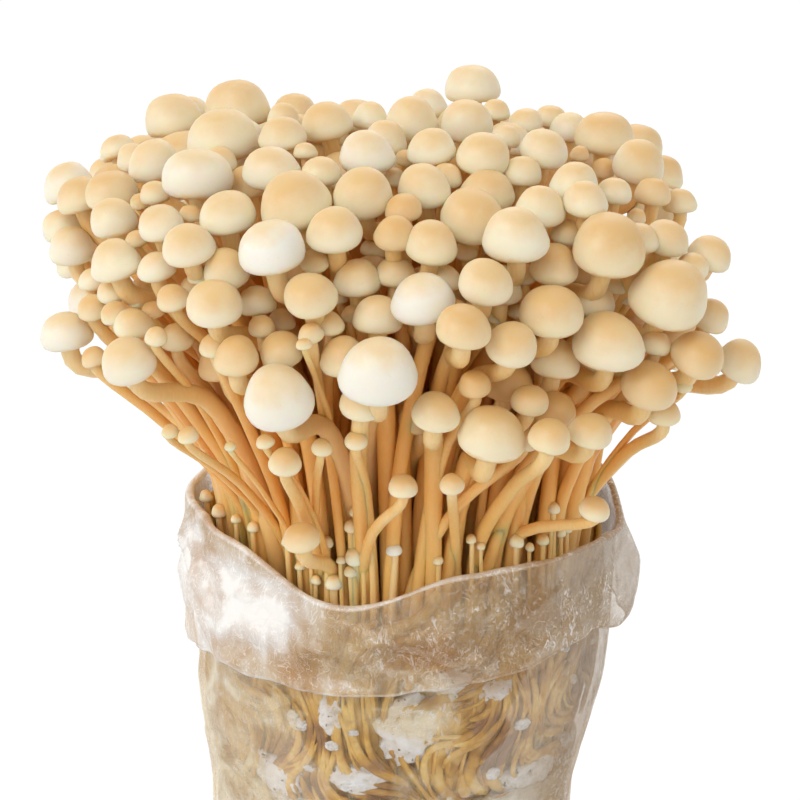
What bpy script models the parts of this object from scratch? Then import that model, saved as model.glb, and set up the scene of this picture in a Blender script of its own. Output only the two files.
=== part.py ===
"""Enoki mushroom grow bag.

Tufts of enoki mushrooms grow from a block of substrate, inside a film bag whose mouth is folded outwards
as a cuff. Metres, +Z up. The origin is the middle of the bag's flat bottom, and the side seen from the
front faces -Y.
"""

import math
import random

import bmesh
import bpy
import numpy as np
from mathutils import Matrix, Vector

# Clearance between pieces that touch, and the wall of the film
GAP = 0.0003
FILM = 0.0008

# Bag body: outer radius of the film from the flat bottom up to the fold
FOOT_RADIUS = 0.0435
FOOT_ROUNDING = 0.004
FOOT_TUCK = 0.0024
BOTTOM_FILM = 0.0015
WAIST_RADIUS = 0.0470
WAIST_HEIGHT = 0.096
SHOULDER_RADIUS = 0.0523
SHOULDER_HEIGHT = 0.138
NECK_RADIUS = 0.0529
RIM_HEIGHT = 0.175

# The filled bag leans: its mouth stands this far to the +X side of its foot, from this height up
MOUTH_OFFSET = 0.0040
LEAN_START = 0.070

# Height of the fold above or below RIM_HEIGHT, by bearing from the front, anticlockwise seen from above:
# a V at the front, left of the middle, and higher at the back
RIM_WAVE = (
    (-170, 0.0050),
    (-100, 0.0030),
    (-52, 0.0042),
    (-16, -0.0060),
    (14, 0.0018),
    (42, 0.0024),
    (80, -0.0020),
    (130, 0.0045),
)

# Cuff: the film hangs outside the body from the fold, down to a hem whose height is given in the same way
CUFF_DROP = 0.029
HEM_WAVE = (
    (-140, -0.0020),
    (-85, -0.0045),
    (-50, 0.0005),
    (-8, 0.0008),
    (26, 0.0040),
    (50, 0.0070),
    (82, 0.0005),
    (150, 0.0010),
)
CUFF_SPACE = 0.0012
CUFF_FLARE = 0.0016
CUFF_OPENING = 0.85
CORNER_BEARING = 76
CORNER_SPREAD = 13
CORNER_REACH = 0.0040
CUFF_MIDDLE = 0.55

# Creases of the film: how far in and out it goes, and the waves round the bag that make it up
CREASE = 0.0007
CREASE_WAVES = ((5, 0.6, 21.0), (8, 2.1, -34.0), (11, 4.0, 47.0))
CREASE_START = 0.03

# Substrate block, and the flat pads on which the mushrooms of a tuft grow together. FOOT_CROWDING is how
# far their stems stand from the pad's middle, as a share of a stem's thickness.
SUBSTRATE_TOP = 0.112
PAD_RADIUS = 0.0058
PAD_HEIGHT = 0.0050
PAD_MARGIN = 0.0010
TUFT_SIZE = 3
FOOT_CROWDING = 0.42

# Bunch of mushrooms above the rim
BUNCH_WIDTH = 0.182
BUNCH_DEPTH = 0.166
BUNCH_HEIGHT = 0.106
STEM_DIAMETER = 0.0047
STEM_CLEARANCE = 0.0007
STEM_LINKS = 4

# Shape of a cap: radius and height of its rings, as shares of its widest radius, and the height of its top
CAP_RINGS = ((0.72, 0.02), (1.00, 0.52), (0.80, 1.06))
CAP_TOP = 1.42
CAP_MIDDLE = 0.60
CAP_SIDES = 6
STEM_SIDES = 5
PAD_SIDES = 7

# Viewpoint of the photograph. Its distance is given in pixels at the middle of the rim, where the bunch is
# BUNCH_PIXELS wide.
PHOTO_CENTRE = (400, 400)
RIM_PIXEL = (406, 500)
VIEW_PIXELS = 2461
VIEW_ELEVATION = math.radians(21.5)
BUNCH_PIXELS = 722

# Caps seen in the photograph: pixels across and down to the middle, and pixels wide
SEEN_CAPS = (
    (67, 183, 50), (112, 182, 42), (153, 161, 52), (173, 117, 58), (197, 174, 70), (113, 218, 48),
    (72, 246, 46), (114, 260, 53), (160, 223, 46), (188, 244, 54), (227, 213, 58), (222, 137, 74),
    (237, 106, 66), (282, 134, 48), (326, 121, 51), (271, 167, 58), (321, 171, 42), (294, 200, 74),
    (334, 229, 56), (271, 247, 69), (367, 152, 56), (362, 192, 59), (412, 119, 56), (473, 85, 57),
    (467, 121, 51), (431, 147, 50), (483, 154, 53), (545, 148, 50), (605, 134, 60), (640, 162, 53),
    (424, 186, 54), (473, 214, 68), (541, 206, 50), (574, 182, 50), (516, 234, 66), (432, 242, 54),
    (610, 245, 74), (667, 237, 46), (711, 253, 44), (671, 292, 80), (552, 310, 64), (609, 340, 75),
    (650, 384, 58), (699, 353, 57), (741, 360, 48), (591, 430, 46), (486, 281, 56), (422, 297, 65),
    (464, 326, 56), (512, 343, 53), (436, 411, 49), (493, 433, 68), (378, 369, 78), (342, 355, 48),
    (278, 395, 73), (236, 355, 47), (214, 303, 56), (310, 294, 54), (66, 331, 55), (128, 360, 54),
)

# Caps on the far side, in rows: height as a share of the bunch's, bearings of the ends, and how many.
# FAR_EDGES are the pixels across and down between and below which they lie.
FAR_ROWS = ((0.42, 112, 248, 7), (0.64, 110, 250, 8), (0.86, 116, 244, 6))
FAR_CAP_RADII = (0.0062, 0.0088)
FAR_EDGES = (62, 688, 112)
FAR_STEP = 0.001
FAR_SCATTER = 0.2
SEED = 7

# Form of the bunch: how far inside its outline the caps' middles lie, how square its rounded block is, and
# how late a stem bends outwards and how early it rises, as powers of the way along it
OUTLINE_MARGIN = 0.0075
SQUARENESS = 2.6
OUTWARD_BEND = 2.3
EARLY_RISE = 1.5
FOOT_SPLAY = 0.12

# Rounds in which the mushrooms are eased into smooth curves and moved clear of each other
ROUNDS = 420
EASE = 0.30
SMOOTH_SHARE = 0.8
PULL_BACK = 0.04

# Facets round the bag
COLUMNS = 24


# Bag surfaces

def smooth_step(value):
    value = min(max(value, 0.0), 1.0)
    return value * value * (3 - 2 * value)


def body_profile(height):
    """Outer radius of the film body at a height, before its creases."""
    if height < FOOT_ROUNDING:
        drop = 1 - height / FOOT_ROUNDING
        return FOOT_RADIUS - FOOT_TUCK * (1 - math.sqrt(1 - drop * drop))
    stations = (
        (FOOT_ROUNDING, FOOT_RADIUS),
        (WAIST_HEIGHT, WAIST_RADIUS),
        (SHOULDER_HEIGHT, SHOULDER_RADIUS),
        (RIM_HEIGHT, NECK_RADIUS),
    )
    for (low, low_radius), (high, high_radius) in zip(stations, stations[1:]):
        if height <= high:
            share = smooth_step((height - low) / (high - low))
            return low_radius + (high_radius - low_radius) * share
    return NECK_RADIUS


def crease(bearing, height):
    """How far the creases push the film out, fading towards the flat bottom."""
    waves = sum(math.sin(count * bearing + phase + rise * height) for count, phase, rise in CREASE_WAVES)
    return CREASE * waves / 2 * smooth_step(height / CREASE_START)


def body_radius(bearing, height):
    return body_profile(height) + crease(bearing, height)


def wave_at(wave, bearing):
    """Value at a bearing in radians of a wave given at a few bearings round the bag."""
    first = wave[0][0]
    degrees = (math.degrees(bearing) - first) % 360 + first
    for (low, low_value), (high, high_value) in zip(wave, (*wave[1:], (first + 360, wave[0][1]))):
        if degrees <= high:
            return low_value + (high_value - low_value) * smooth_step((degrees - low) / (high - low))
    return wave[0][1]


def rim_height(bearing):
    return RIM_HEIGHT + wave_at(RIM_WAVE, bearing)


def hem_height(bearing):
    return RIM_HEIGHT - CUFF_DROP + wave_at(HEM_WAVE, bearing)


def lean(height):
    """How far to the +X side of the foot the middle of the bag is at a height."""
    return MOUTH_OFFSET * smooth_step((height - LEAN_START) / (RIM_HEIGHT - LEAN_START))


def corner(bearing):
    """Share of the cuff's pointed corner at a bearing."""
    away = (math.degrees(bearing) - CORNER_BEARING + 180) % 360 - 180
    return max(0.0, 1 - abs(away) / CORNER_SPREAD)


def bearing_point(bearing, radius, height):
    """A point round the bag's middle. Bearing 0 is the front, -Y, and +X is at a quarter turn."""
    return Vector((lean(height) + radius * math.sin(bearing), -radius * math.cos(bearing), height))


BEARINGS = [math.tau * column / COLUMNS - math.pi for column in range(COLUMNS)]
BODY_HEIGHTS = (0.0, BOTTOM_FILM, FOOT_ROUNDING, WAIST_HEIGHT, SUBSTRATE_TOP, SHOULDER_HEIGHT)


# Mesh making

def new_object(name, mesh, material, smooth_angle=40):
    mesh.materials.append(material)
    mesh.shade_smooth()
    mesh.set_sharp_from_angle(angle=math.radians(smooth_angle))
    obj = bpy.data.objects.new(name, mesh)
    bpy.context.scene.collection.objects.link(obj)
    return obj


def loft(name, rings, bottom, top):
    """A closed mesh through rings of equal count, ended by the points bottom and top."""
    form = bmesh.new()
    loops = [[form.verts.new(point) for point in ring] for ring in rings]
    for lower, upper in zip(loops, loops[1:]):
        for side, start in enumerate(lower):
            after = (side + 1) % len(lower)
            form.faces.new((start, lower[after], upper[after], upper[side]))
    for loop, tip in ((loops[0][::-1], bottom), (loops[-1], top)):
        centre = form.verts.new(tip)
        for side, start in enumerate(loop):
            form.faces.new((start, loop[(side + 1) % len(loop)], centre))
    bmesh.ops.triangulate(form, faces=form.faces)
    bmesh.ops.recalc_face_normals(form, faces=form.faces)
    mesh = bpy.data.meshes.new(name)
    form.to_mesh(mesh)
    form.free()
    return mesh


def make_bag(material):
    """The film: up the body, over the fold, down the cuff's face, and back down the inside."""
    def ring(radius_of, height_of):
        return [bearing_point(b, radius_of(b), height_of(b)) for b in BEARINGS]

    def body_ring(height, inset):
        return ring(lambda b: body_radius(b, height) - inset, lambda b: max(height, inset))

    def neck_ring(share, offset, lift=0.0):
        """share runs from 0 at the fold to 1 at the hem, and offset is measured from the body."""
        def height(b):
            return rim_height(b) * (1 - share) + hem_height(b) * share + lift

        def radius(b):
            swell = (CUFF_FLARE + CORNER_REACH * corner(b)) * math.sin(math.pi * share * CUFF_OPENING)
            return body_radius(b, height(b)) + offset + (swell if offset > 0 else 0.0)
        return ring(radius, height)

    face = CUFF_SPACE + FILM
    rings = [body_ring(height, 0.0) for height in BODY_HEIGHTS]
    rings += [neck_ring(CUFF_MIDDLE, 0.0), neck_ring(0.0, 0.0, -2 * FILM)]
    rings += [neck_ring(0.0, CUFF_SPACE, -2 * FILM), neck_ring(CUFF_MIDDLE, CUFF_SPACE)]
    rings += [neck_ring(1.0, CUFF_SPACE), neck_ring(1.0, face), neck_ring(CUFF_MIDDLE, face)]
    rings += [neck_ring(0.0, face, -FILM), neck_ring(0.0, face * 0.4), neck_ring(0.0, -FILM, -FILM)]
    rings += [body_ring(height, FILM) for height in reversed(BODY_HEIGHTS[1:])]
    mesh = loft("bag", rings, Vector((0, 0, 0)), Vector((0, 0, BOTTOM_FILM)))
    return new_object("bag", mesh, material)


def make_substrate(material):
    """The block of substrate, which fills the bag up to the feet of the tufts."""
    inset = FILM + GAP
    low = BOTTOM_FILM + GAP
    heights = (low, *(h for h in BODY_HEIGHTS if low < h < SUBSTRATE_TOP), SUBSTRATE_TOP)
    rings = [[bearing_point(b, body_radius(b, h) - inset, h) for b in BEARINGS] for h in heights]
    mesh = loft("substrate", rings, Vector((0, 0, low)), bearing_point(0, 0, SUBSTRATE_TOP))
    return new_object("substrate", mesh, material)


# Where the mushrooms stand

def sight_line(across, down):
    """Start and direction of the line of sight through a pixel of the photograph."""
    pixel = BUNCH_WIDTH / BUNCH_PIXELS
    distance = VIEW_PIXELS * pixel
    eye = np.array((
        MOUTH_OFFSET + (PHOTO_CENTRE[0] - RIM_PIXEL[0]) * pixel,
        -distance * math.cos(VIEW_ELEVATION),
        RIM_HEIGHT + distance * math.sin(VIEW_ELEVATION),
    ))
    pitch = VIEW_ELEVATION - math.atan((RIM_PIXEL[1] - PHOTO_CENTRE[1]) / VIEW_PIXELS)
    forward = np.array((0, math.cos(pitch), -math.sin(pitch)))
    upward = np.array((0, math.sin(pitch), math.cos(pitch)))
    right = np.array((1.0, 0, 0))
    way = (
        forward * VIEW_PIXELS
        + right * (across - PHOTO_CENTRE[0])
        - upward * (down - PHOTO_CENTRE[1])
    )
    return eye, way / np.linalg.norm(way)


def photo_pixel(place):
    """Pixel of the photograph at which a point lies, and pixels to a metre there."""
    eye, forward = sight_line(*PHOTO_CENTRE)
    right = np.array((1.0, 0, 0))
    upward = np.cross(right, forward)
    scale = VIEW_PIXELS / np.dot(place - eye, forward)
    across = PHOTO_CENTRE[0] + np.dot(place - eye, right) * scale
    return across, PHOTO_CENTRE[1] - np.dot(place - eye, upward) * scale, scale


def behind_front(place, radius):
    """The point moved down and towards the middle until the cap lies within FAR_EDGES."""
    left, right, top = FAR_EDGES
    middle = np.array((MOUTH_OFFSET, 0, RIM_HEIGHT + BUNCH_HEIGHT / 2))
    for _ in range(math.ceil(BUNCH_HEIGHT / FAR_STEP)):
        across, down, scale = photo_pixel(place)
        if down - radius * scale < top:
            place = place - (0, 0, FAR_STEP)
        elif across - radius * scale < left or across + radius * scale > right:
            place = place + (math.copysign(FAR_STEP, middle[0] - place[0]), 0, 0)
        else:
            break
    return place


def bunch_share(places):
    """1 on the rounded block that the caps' middles lie on, less inside it."""
    half = np.array((BUNCH_WIDTH / 2 - OUTLINE_MARGIN, BUNCH_DEPTH / 2 - OUTLINE_MARGIN, BUNCH_HEIGHT / 2))
    middle = np.array((MOUTH_OFFSET, 0, RIM_HEIGHT + BUNCH_HEIGHT / 2 - OUTLINE_MARGIN))
    return (np.abs((places - middle) / half) ** SQUARENESS).sum(axis=-1)


def seen_place(across, down):
    """Where the line of sight first meets the bunch, or comes nearest to it."""
    eye, way = sight_line(across, down)
    middle = np.dot(np.array((MOUTH_OFFSET, 0, RIM_HEIGHT + BUNCH_HEIGHT / 2)) - eye, way)
    steps = np.linspace(middle - BUNCH_WIDTH, middle + BUNCH_WIDTH, 400)
    shares = bunch_share(eye + steps[:, None] * way)
    inside = np.flatnonzero(shares <= 1)
    step = steps[inside[0]] if len(inside) else steps[np.argmin(shares)]
    return eye + step * way


def far_places(rng):
    """Middles and radii of the caps on the side that the photograph doesn't show."""
    for row, (share, start, end, count) in enumerate(FAR_ROWS):
        for step in range(count):
            scatter = rng.uniform(-FAR_SCATTER, FAR_SCATTER)
            bearing = math.radians(start + (end - start) * (step + scatter) / (count - 1))
            height = RIM_HEIGHT + BUNCH_HEIGHT * (share + rng.uniform(-FAR_SCATTER, FAR_SCATTER) / 6)
            reaches = np.linspace(OUTLINE_MARGIN, BUNCH_WIDTH / 2, 200)
            line = np.array([bearing_point(bearing, reach, height) for reach in reaches])
            inside = np.flatnonzero(bunch_share(line) <= 1)
            reach = inside[-1] if len(inside) else 0
            radius = rng.uniform(*FAR_CAP_RADII)
            yield behind_front(line[reach], radius), radius


def pad_centres(count):
    """Feet of the tufts, spread evenly over the top of the substrate."""
    field = body_profile(SUBSTRATE_TOP) - CREASE * 1.5 - FILM - GAP - PAD_RADIUS - PAD_MARGIN
    turn = math.pi * (3 - math.sqrt(5))
    reaches = [field * math.sqrt((i + 0.5) / (count - 0.5)) for i in range(count)]
    flat = [(r * math.cos(i * turn), r * math.sin(i * turn)) for i, r in enumerate(reaches)]
    return np.array(flat) + (lean(SUBSTRATE_TOP), 0)


def share_out(caps, pads):
    """Gives each mushroom a pad, so that mushrooms spread from the middle outwards without crossing."""
    flat = caps[:, :2] - (MOUTH_OFFSET, 0)
    middle = np.array((lean(SUBSTRATE_TOP), 0))
    tilt = np.arctan2(np.linalg.norm(flat, axis=1), caps[:, 2] - SUBSTRATE_TOP)
    order = np.argsort(np.argsort(tilt))
    reach = np.linalg.norm(pads - middle, axis=1).max() * np.sqrt((order + 0.5) / len(caps))
    ideal = middle + flat / np.linalg.norm(flat, axis=1)[:, None] * reach[:, None]
    seats = np.repeat(np.arange(len(pads)), TUFT_SIZE)[: len(caps)]
    cost = ((ideal[:, None] - pads[seats][None]) ** 2).sum(axis=-1)
    seat = np.full(len(caps), -1)
    for mushroom, place in sorted(np.ndindex(cost.shape), key=lambda pair: cost[pair]):
        if seat[mushroom] < 0 and place not in seat:
            seat[mushroom] = place
    for _ in range(1000):
        held = cost[:, seat]
        gain = np.diag(held)[:, None] + np.diag(held)[None] - held - held.T
        first, second = np.unravel_index(np.argmax(gain), gain.shape)
        if gain[first, second] < 1e-9:
            break
        seat[[first, second]] = seat[[second, first]]
    return seats[seat]


def foot_places(caps, pads, tuft):
    """Foot of each stem on its pad, on the side that its cap leans to."""
    feet = np.zeros((len(caps), 3))
    ring = STEM_DIAMETER * FOOT_CROWDING
    for pad, centre in enumerate(pads):
        members = np.flatnonzero(tuft == pad)
        if not len(members):
            continue
        turns = np.arctan2(*(caps[members, :2] - centre).T[::-1])
        members = members[np.argsort(turns)]
        start = np.sort(turns)[0]
        for step, mushroom in enumerate(members):
            turn = start + math.tau * step / len(members)
            feet[mushroom, :2] = centre + ring * np.array((math.cos(turn), math.sin(turn)))
    feet[:, 2] = SUBSTRATE_TOP + GAP + PAD_HEIGHT * 0.3
    return feet


# Keeping the mushrooms clear of each other

def nearest_shares(start_a, end_a, start_b, end_b):
    """How far along each of two stretches their nearest points lie, from 0 to 1."""
    a = end_a - start_a
    b = end_b - start_b
    between = start_a - start_b
    aa = (a * a).sum(axis=1)
    bb = (b * b).sum(axis=1)
    ab = (a * b).sum(axis=1)
    a_between = (a * between).sum(axis=1)
    b_between = (b * between).sum(axis=1)
    spread = np.maximum(aa * bb - ab * ab, 1e-12)
    along_a = np.clip((ab * b_between - a_between * bb) / spread, 0, 1)
    along_b = np.clip((ab * along_a + b_between) / bb, 0, 1)
    along_a = np.clip((ab * along_b - a_between) / aa, 0, 1)
    return along_a, along_b


def part_stems(chains, radii, tuft):
    """Moves stems apart where two come nearer than their thickness and clearance."""
    count, links = chains.shape[0], chains.shape[1] - 1
    starts = chains[:, :-1].reshape(-1, 3)
    ends = chains[:, 1:].reshape(-1, 3)
    owner = np.repeat(np.arange(count), links)
    link = np.tile(np.arange(links), count)
    middles = (starts + ends) / 2
    halves = np.linalg.norm(ends - starts, axis=1) / 2
    apart = np.linalg.norm(middles[:, None] - middles[None], axis=-1)
    near = apart < halves[:, None] + halves[None] + STEM_DIAMETER * 1.5
    first, second = np.nonzero(np.triu(near, 1))
    foot_pair = (tuft[owner[first]] == tuft[owner[second]]) & (link[first] == 0) & (link[second] == 0)
    keep = (owner[first] != owner[second]) & ~foot_pair
    first, second = first[keep], second[keep]
    along_a, along_b = nearest_shares(starts[first], ends[first], starts[second], ends[second])
    on_a = starts[first] + (ends[first] - starts[first]) * along_a[:, None]
    on_b = starts[second] + (ends[second] - starts[second]) * along_b[:, None]
    way = on_a - on_b
    distance = np.maximum(np.linalg.norm(way, axis=1), 1e-6)
    short = radii[owner[first]] + radii[owner[second]] + STEM_CLEARANCE - distance
    hit = short > 0
    push = way[hit] / distance[hit, None] * short[hit, None] * 0.5
    moved = np.zeros_like(chains)
    for index, share, sign in ((first[hit], along_a[hit], 1), (second[hit], along_b[hit], -1)):
        np.add.at(moved, (owner[index], link[index]), sign * push * (1 - share)[:, None])
        np.add.at(moved, (owner[index], link[index] + 1), sign * push * share[:, None])
    chains += moved


def part_caps(chains, radii, cap_radii):
    """Moves caps apart from each other and from the stems of other mushrooms."""
    count, links = chains.shape[0], chains.shape[1] - 1
    caps = chains[:, -1]
    way = caps[:, None] - caps[None]
    distance = np.linalg.norm(way, axis=-1) + np.eye(count)
    short = np.triu(cap_radii[:, None] + cap_radii[None] + STEM_CLEARANCE - distance, 1)
    first, second = np.nonzero(short > 0)
    push = way[first, second] / distance[first, second, None] * short[first, second, None] * 0.5
    moved = np.zeros_like(chains)
    np.add.at(moved, (first, links), push)
    np.add.at(moved, (second, links), -push)

    starts = chains[:, :-1].reshape(-1, 3)
    ways = chains[:, 1:].reshape(-1, 3) - starts
    owner = np.repeat(np.arange(count), links)
    link = np.tile(np.arange(links), count)
    along = ((caps[:, None] - starts[None]) * ways[None]).sum(axis=-1) / (ways * ways).sum(axis=-1)[None]
    along = np.clip(along, 0, 1)
    off = caps[:, None] - (starts[None] + ways[None] * along[..., None])
    distance = np.maximum(np.linalg.norm(off, axis=-1), 1e-6)
    short = cap_radii[:, None] + radii[owner][None] + STEM_CLEARANCE - distance
    own = np.arange(count)[:, None] == owner[None]
    short[own & (link >= links - 2)[None]] = 0
    cap, stretch = np.nonzero(short > 0)
    push = off[cap, stretch] / distance[cap, stretch, None] * short[cap, stretch, None] * 0.5
    share = along[cap, stretch]
    np.add.at(moved, (cap, links), push)
    np.add.at(moved, (owner[stretch], link[stretch]), -push * (1 - share)[:, None])
    np.add.at(moved, (owner[stretch], link[stretch] + 1), -push * share[:, None])
    chains += moved


def keep_in_bag(chains, radii, rim_table):
    """Keeps what is below the fold inside the film, up to where each stem passes the fold."""
    links = chains.shape[1] - 1
    lean_heights = np.linspace(SUBSTRATE_TOP, RIM_HEIGHT, 20)
    lean_table = [lean(height) for height in lean_heights]

    def from_middle(place):
        flat = place[:, :2].copy()
        flat[:, 0] -= np.interp(place[:, 2], lean_heights, lean_table)
        return flat, np.linalg.norm(flat, axis=1)

    def fold_level(place):
        flat, _ = from_middle(place)
        bearing = np.arctan2(flat[:, 0], -flat[:, 1])
        column = np.round((bearing + math.pi) / math.tau * len(rim_table)).astype(int) % len(rim_table)
        return rim_table[column] + radii + STEM_CLEARANCE

    for link in range(links):
        low, high = chains[:, link], chains[:, link + 1]
        level = np.maximum(fold_level(low), fold_level(high))
        passing = np.clip((level - low[:, 2]) / np.maximum(high[:, 2] - low[:, 2], GAP), 0, 1)
        for portion in (0.25, 0.5, 0.75, 1.0):
            share = (passing * portion)[:, None]
            place = low + (high - low) * share
            flat, reach = from_middle(place)
            width = np.interp(place[:, 2], (SUBSTRATE_TOP, SHOULDER_HEIGHT, RIM_HEIGHT),
                              (body_profile(SUBSTRATE_TOP), SHOULDER_RADIUS, NECK_RADIUS))
            limit = (width - CREASE * 1.5 - FILM) * math.cos(math.pi / COLUMNS) - radii - STEM_CLEARANCE
            over = np.where(place[:, 2] <= level + GAP, np.maximum(reach - limit, 0), 0)
            push = flat / np.maximum(reach, GAP)[:, None] * over[:, None]
            chains[:, link, :2] -= push * (1 - share)
            chains[:, link + 1, :2] -= push * share


def settle(chains, radii, cap_radii, tuft, lines):
    """Eases the stems into even curves that clear each other, with each seen cap on its line of sight."""
    eye, ways, seen = lines
    feet = chains[:, 0].copy()
    wanted = chains[:, -1].copy()
    arch = chains[:, 1:-1] - (chains[:, :-2] + chains[:, 2:]) / 2
    rim_table = np.array([rim_height(math.tau * i / 180 - math.pi) for i in range(180)])
    for turn in range(ROUNDS):
        ease = EASE * max(0.0, 1 - turn / (ROUNDS * SMOOTH_SHARE))
        middle = (chains[:, :-2] + chains[:, 2:]) / 2
        chains[:, 1:-1] += (middle + arch - chains[:, 1:-1]) * ease
        rise = np.linalg.norm(chains[:, 1] - feet, axis=1)
        upright = feet + np.stack((feet[:, 0] * FOOT_SPLAY, feet[:, 1] * FOOT_SPLAY, rise), axis=1)
        chains[:, 1] += (upright - chains[:, 1]) * ease / 2
        part_stems(chains, radii, tuft)
        part_caps(chains, radii, cap_radii)
        keep_in_bag(chains, radii, rim_table)
        chains[:, 0] = feet
        caps = chains[:, -1]
        caps += (wanted - caps) * PULL_BACK * ease
        depth = ((caps - eye) * ways).sum(axis=1)
        on_line = eye + ways * depth[:, None]
        chains[:, -1] = np.where(seen[:, None], on_line, caps)
    return chains


# Mushrooms

def mushroom_mesh(name, chain, stem_radius, cap_radius):
    """A stem swept up its chain of points, with a button cap on its end, as one closed form."""
    points = [Vector(point) for point in chain]
    axis = (points[-1] - points[-2]).normalized()
    seat = points[-1] - axis * cap_radius * CAP_MIDDLE
    points[-1] = seat
    form = bmesh.new()
    side_way = Vector((1, 0, 0))
    rings = []
    for index, point in enumerate(points):
        before = points[max(index - 1, 0)]
        after = points[min(index + 1, len(points) - 1)]
        way = axis if index == len(points) - 1 else (after - before).normalized()
        side_way = (side_way - way * side_way.dot(way)).normalized()
        other_way = way.cross(side_way)
        turns = [math.tau * side / STEM_SIDES for side in range(STEM_SIDES)]
        rings.append([
            form.verts.new(point + (side_way * math.cos(t) + other_way * math.sin(t)) * stem_radius)
            for t in turns
        ])
    other_way = axis.cross(side_way)
    for share, rise in CAP_RINGS:
        turns = [math.tau * side / CAP_SIDES for side in range(CAP_SIDES)]
        rings.append([
            form.verts.new(
                seat
                + axis * rise * cap_radius
                + (side_way * math.cos(t) + other_way * math.sin(t)) * share * cap_radius
            )
            for t in turns
        ])
    tip = form.verts.new(seat + axis * CAP_TOP * cap_radius)
    form.faces.new(rings[0][::-1])
    for lower, upper in zip(rings, rings[1:]):
        if len(lower) == len(upper):
            for side, start in enumerate(lower):
                after = (side + 1) % len(lower)
                form.faces.new((start, lower[after], upper[after], upper[side]))
        else:
            bridge_unequal(form, lower, upper)
    for side, start in enumerate(rings[-1]):
        form.faces.new((start, rings[-1][(side + 1) % CAP_SIDES], tip))
    bmesh.ops.triangulate(form, faces=form.faces)
    bmesh.ops.recalc_face_normals(form, faces=form.faces)
    mesh = bpy.data.meshes.new(name)
    form.to_mesh(mesh)
    form.free()
    return mesh


def bridge_unequal(form, lower, upper):
    """Joins two rings whose counts differ, going round both at the same pace."""
    low, high = 0, 0
    while low < len(lower) or high < len(upper):
        low_now, high_now = lower[low % len(lower)], upper[high % len(upper)]
        if high >= len(upper) or (low < len(lower) and (low + 1) / len(lower) <= (high + 1) / len(upper)):
            form.faces.new((low_now, lower[(low + 1) % len(lower)], high_now))
            low += 1
        else:
            form.faces.new((low_now, upper[(high + 1) % len(upper)], high_now))
            high += 1


def make_tuft(name, centre, mushrooms, material):
    """A foot pad with its mushrooms grown together on it."""
    foot = Vector((centre[0], centre[1], SUBSTRATE_TOP + GAP))
    rings = []
    for share, rise in ((1.0, 0.0), (0.8, 1.0)):
        turns = [math.tau * side / PAD_SIDES for side in range(PAD_SIDES)]
        reach = share * PAD_RADIUS
        rings.append([
            foot + Vector((math.cos(t) * reach, math.sin(t) * reach, rise * PAD_HEIGHT)) for t in turns
        ])
    mesh = loft(name, rings, foot, foot + Vector((0, 0, PAD_HEIGHT)))
    mesh.transform(Matrix.Translation(-foot))
    tuft = new_object(name, mesh, material, smooth_angle=60)
    tuft.location = foot
    for index, (chain, stem_radius, cap_radius) in enumerate(mushrooms):
        stalk_mesh = mushroom_mesh(f"{name}_mushroom_{index}", chain, stem_radius, cap_radius)
        stalk_mesh.transform(Matrix.Translation(-foot))
        stalk = new_object(f"{name}_mushroom_{index}", stalk_mesh, material, smooth_angle=60)
        stalk.parent = tuft
        stalk.hide_render = True
        stalk.display_type = "WIRE"
        union = tuft.modifiers.new(f"grown together {index}", "BOOLEAN")
        union.operation = "UNION"
        union.solver = "EXACT"
        union.object = stalk
    return tuft


def make_mushrooms(material):
    rng = random.Random(SEED)
    pixel = BUNCH_WIDTH / BUNCH_PIXELS
    eye, _ = sight_line(*PHOTO_CENTRE)
    caps, cap_radii, ways = [], [], []
    for across, down, width in SEEN_CAPS:
        place = seen_place(across, down)
        nearness = np.linalg.norm(place - eye) / (VIEW_PIXELS * pixel)
        caps.append(place)
        cap_radii.append(width / 2 * pixel * nearness)
        ways.append(sight_line(across, down)[1])
    for place, radius in far_places(rng):
        caps.append(place)
        cap_radii.append(radius)
        ways.append(np.zeros(3))
    caps, cap_radii, ways = np.array(caps), np.array(cap_radii), np.array(ways)
    seen = np.arange(len(caps)) < len(SEEN_CAPS)
    radii = np.full(len(caps), STEM_DIAMETER / 2)

    tuft_count = math.ceil(len(caps) / TUFT_SIZE)
    pads = pad_centres(tuft_count)
    tuft = share_out(caps, pads)
    feet = foot_places(caps, pads, tuft)
    shares = np.linspace(0, 1, STEM_LINKS + 1)[:, None]
    spread = np.hstack((shares ** OUTWARD_BEND, shares ** OUTWARD_BEND, 1 - (1 - shares) ** EARLY_RISE))
    arched = feet[:, None] + (caps - feet)[:, None] * spread
    chains = settle(arched, radii, cap_radii, tuft, (eye, ways, seen))
    for pad in range(tuft_count):
        members = np.flatnonzero(tuft == pad)
        mushrooms = [(chains[m], radii[m], cap_radii[m]) for m in members]
        make_tuft(f"mushroom_tuft_{pad + 1:02d}", pads[pad], mushrooms, material)


def material_of(name, colour, roughness, alpha=1.0):
    material = bpy.data.materials.new(name)
    material.use_nodes = True
    shader = material.node_tree.nodes["Principled BSDF"]
    shader.inputs["Base Color"].default_value = (*colour, 1)
    shader.inputs["Roughness"].default_value = roughness
    shader.inputs["Metallic"].default_value = 0
    shader.inputs["Alpha"].default_value = alpha
    return material


def main():
    for obj in list(bpy.data.objects):
        bpy.data.objects.remove(obj, do_unlink=True)
    make_bag(material_of("milky film", (0.86, 0.84, 0.80), 0.35, 0.5))
    make_substrate(material_of("substrate and mycelium", (0.62, 0.50, 0.34), 0.9))
    make_mushrooms(material_of("enoki cream", (0.88, 0.70, 0.44), 0.5))


main()
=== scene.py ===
import functools
import math
import random

import bpy
import numpy as np
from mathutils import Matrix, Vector, noise


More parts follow.
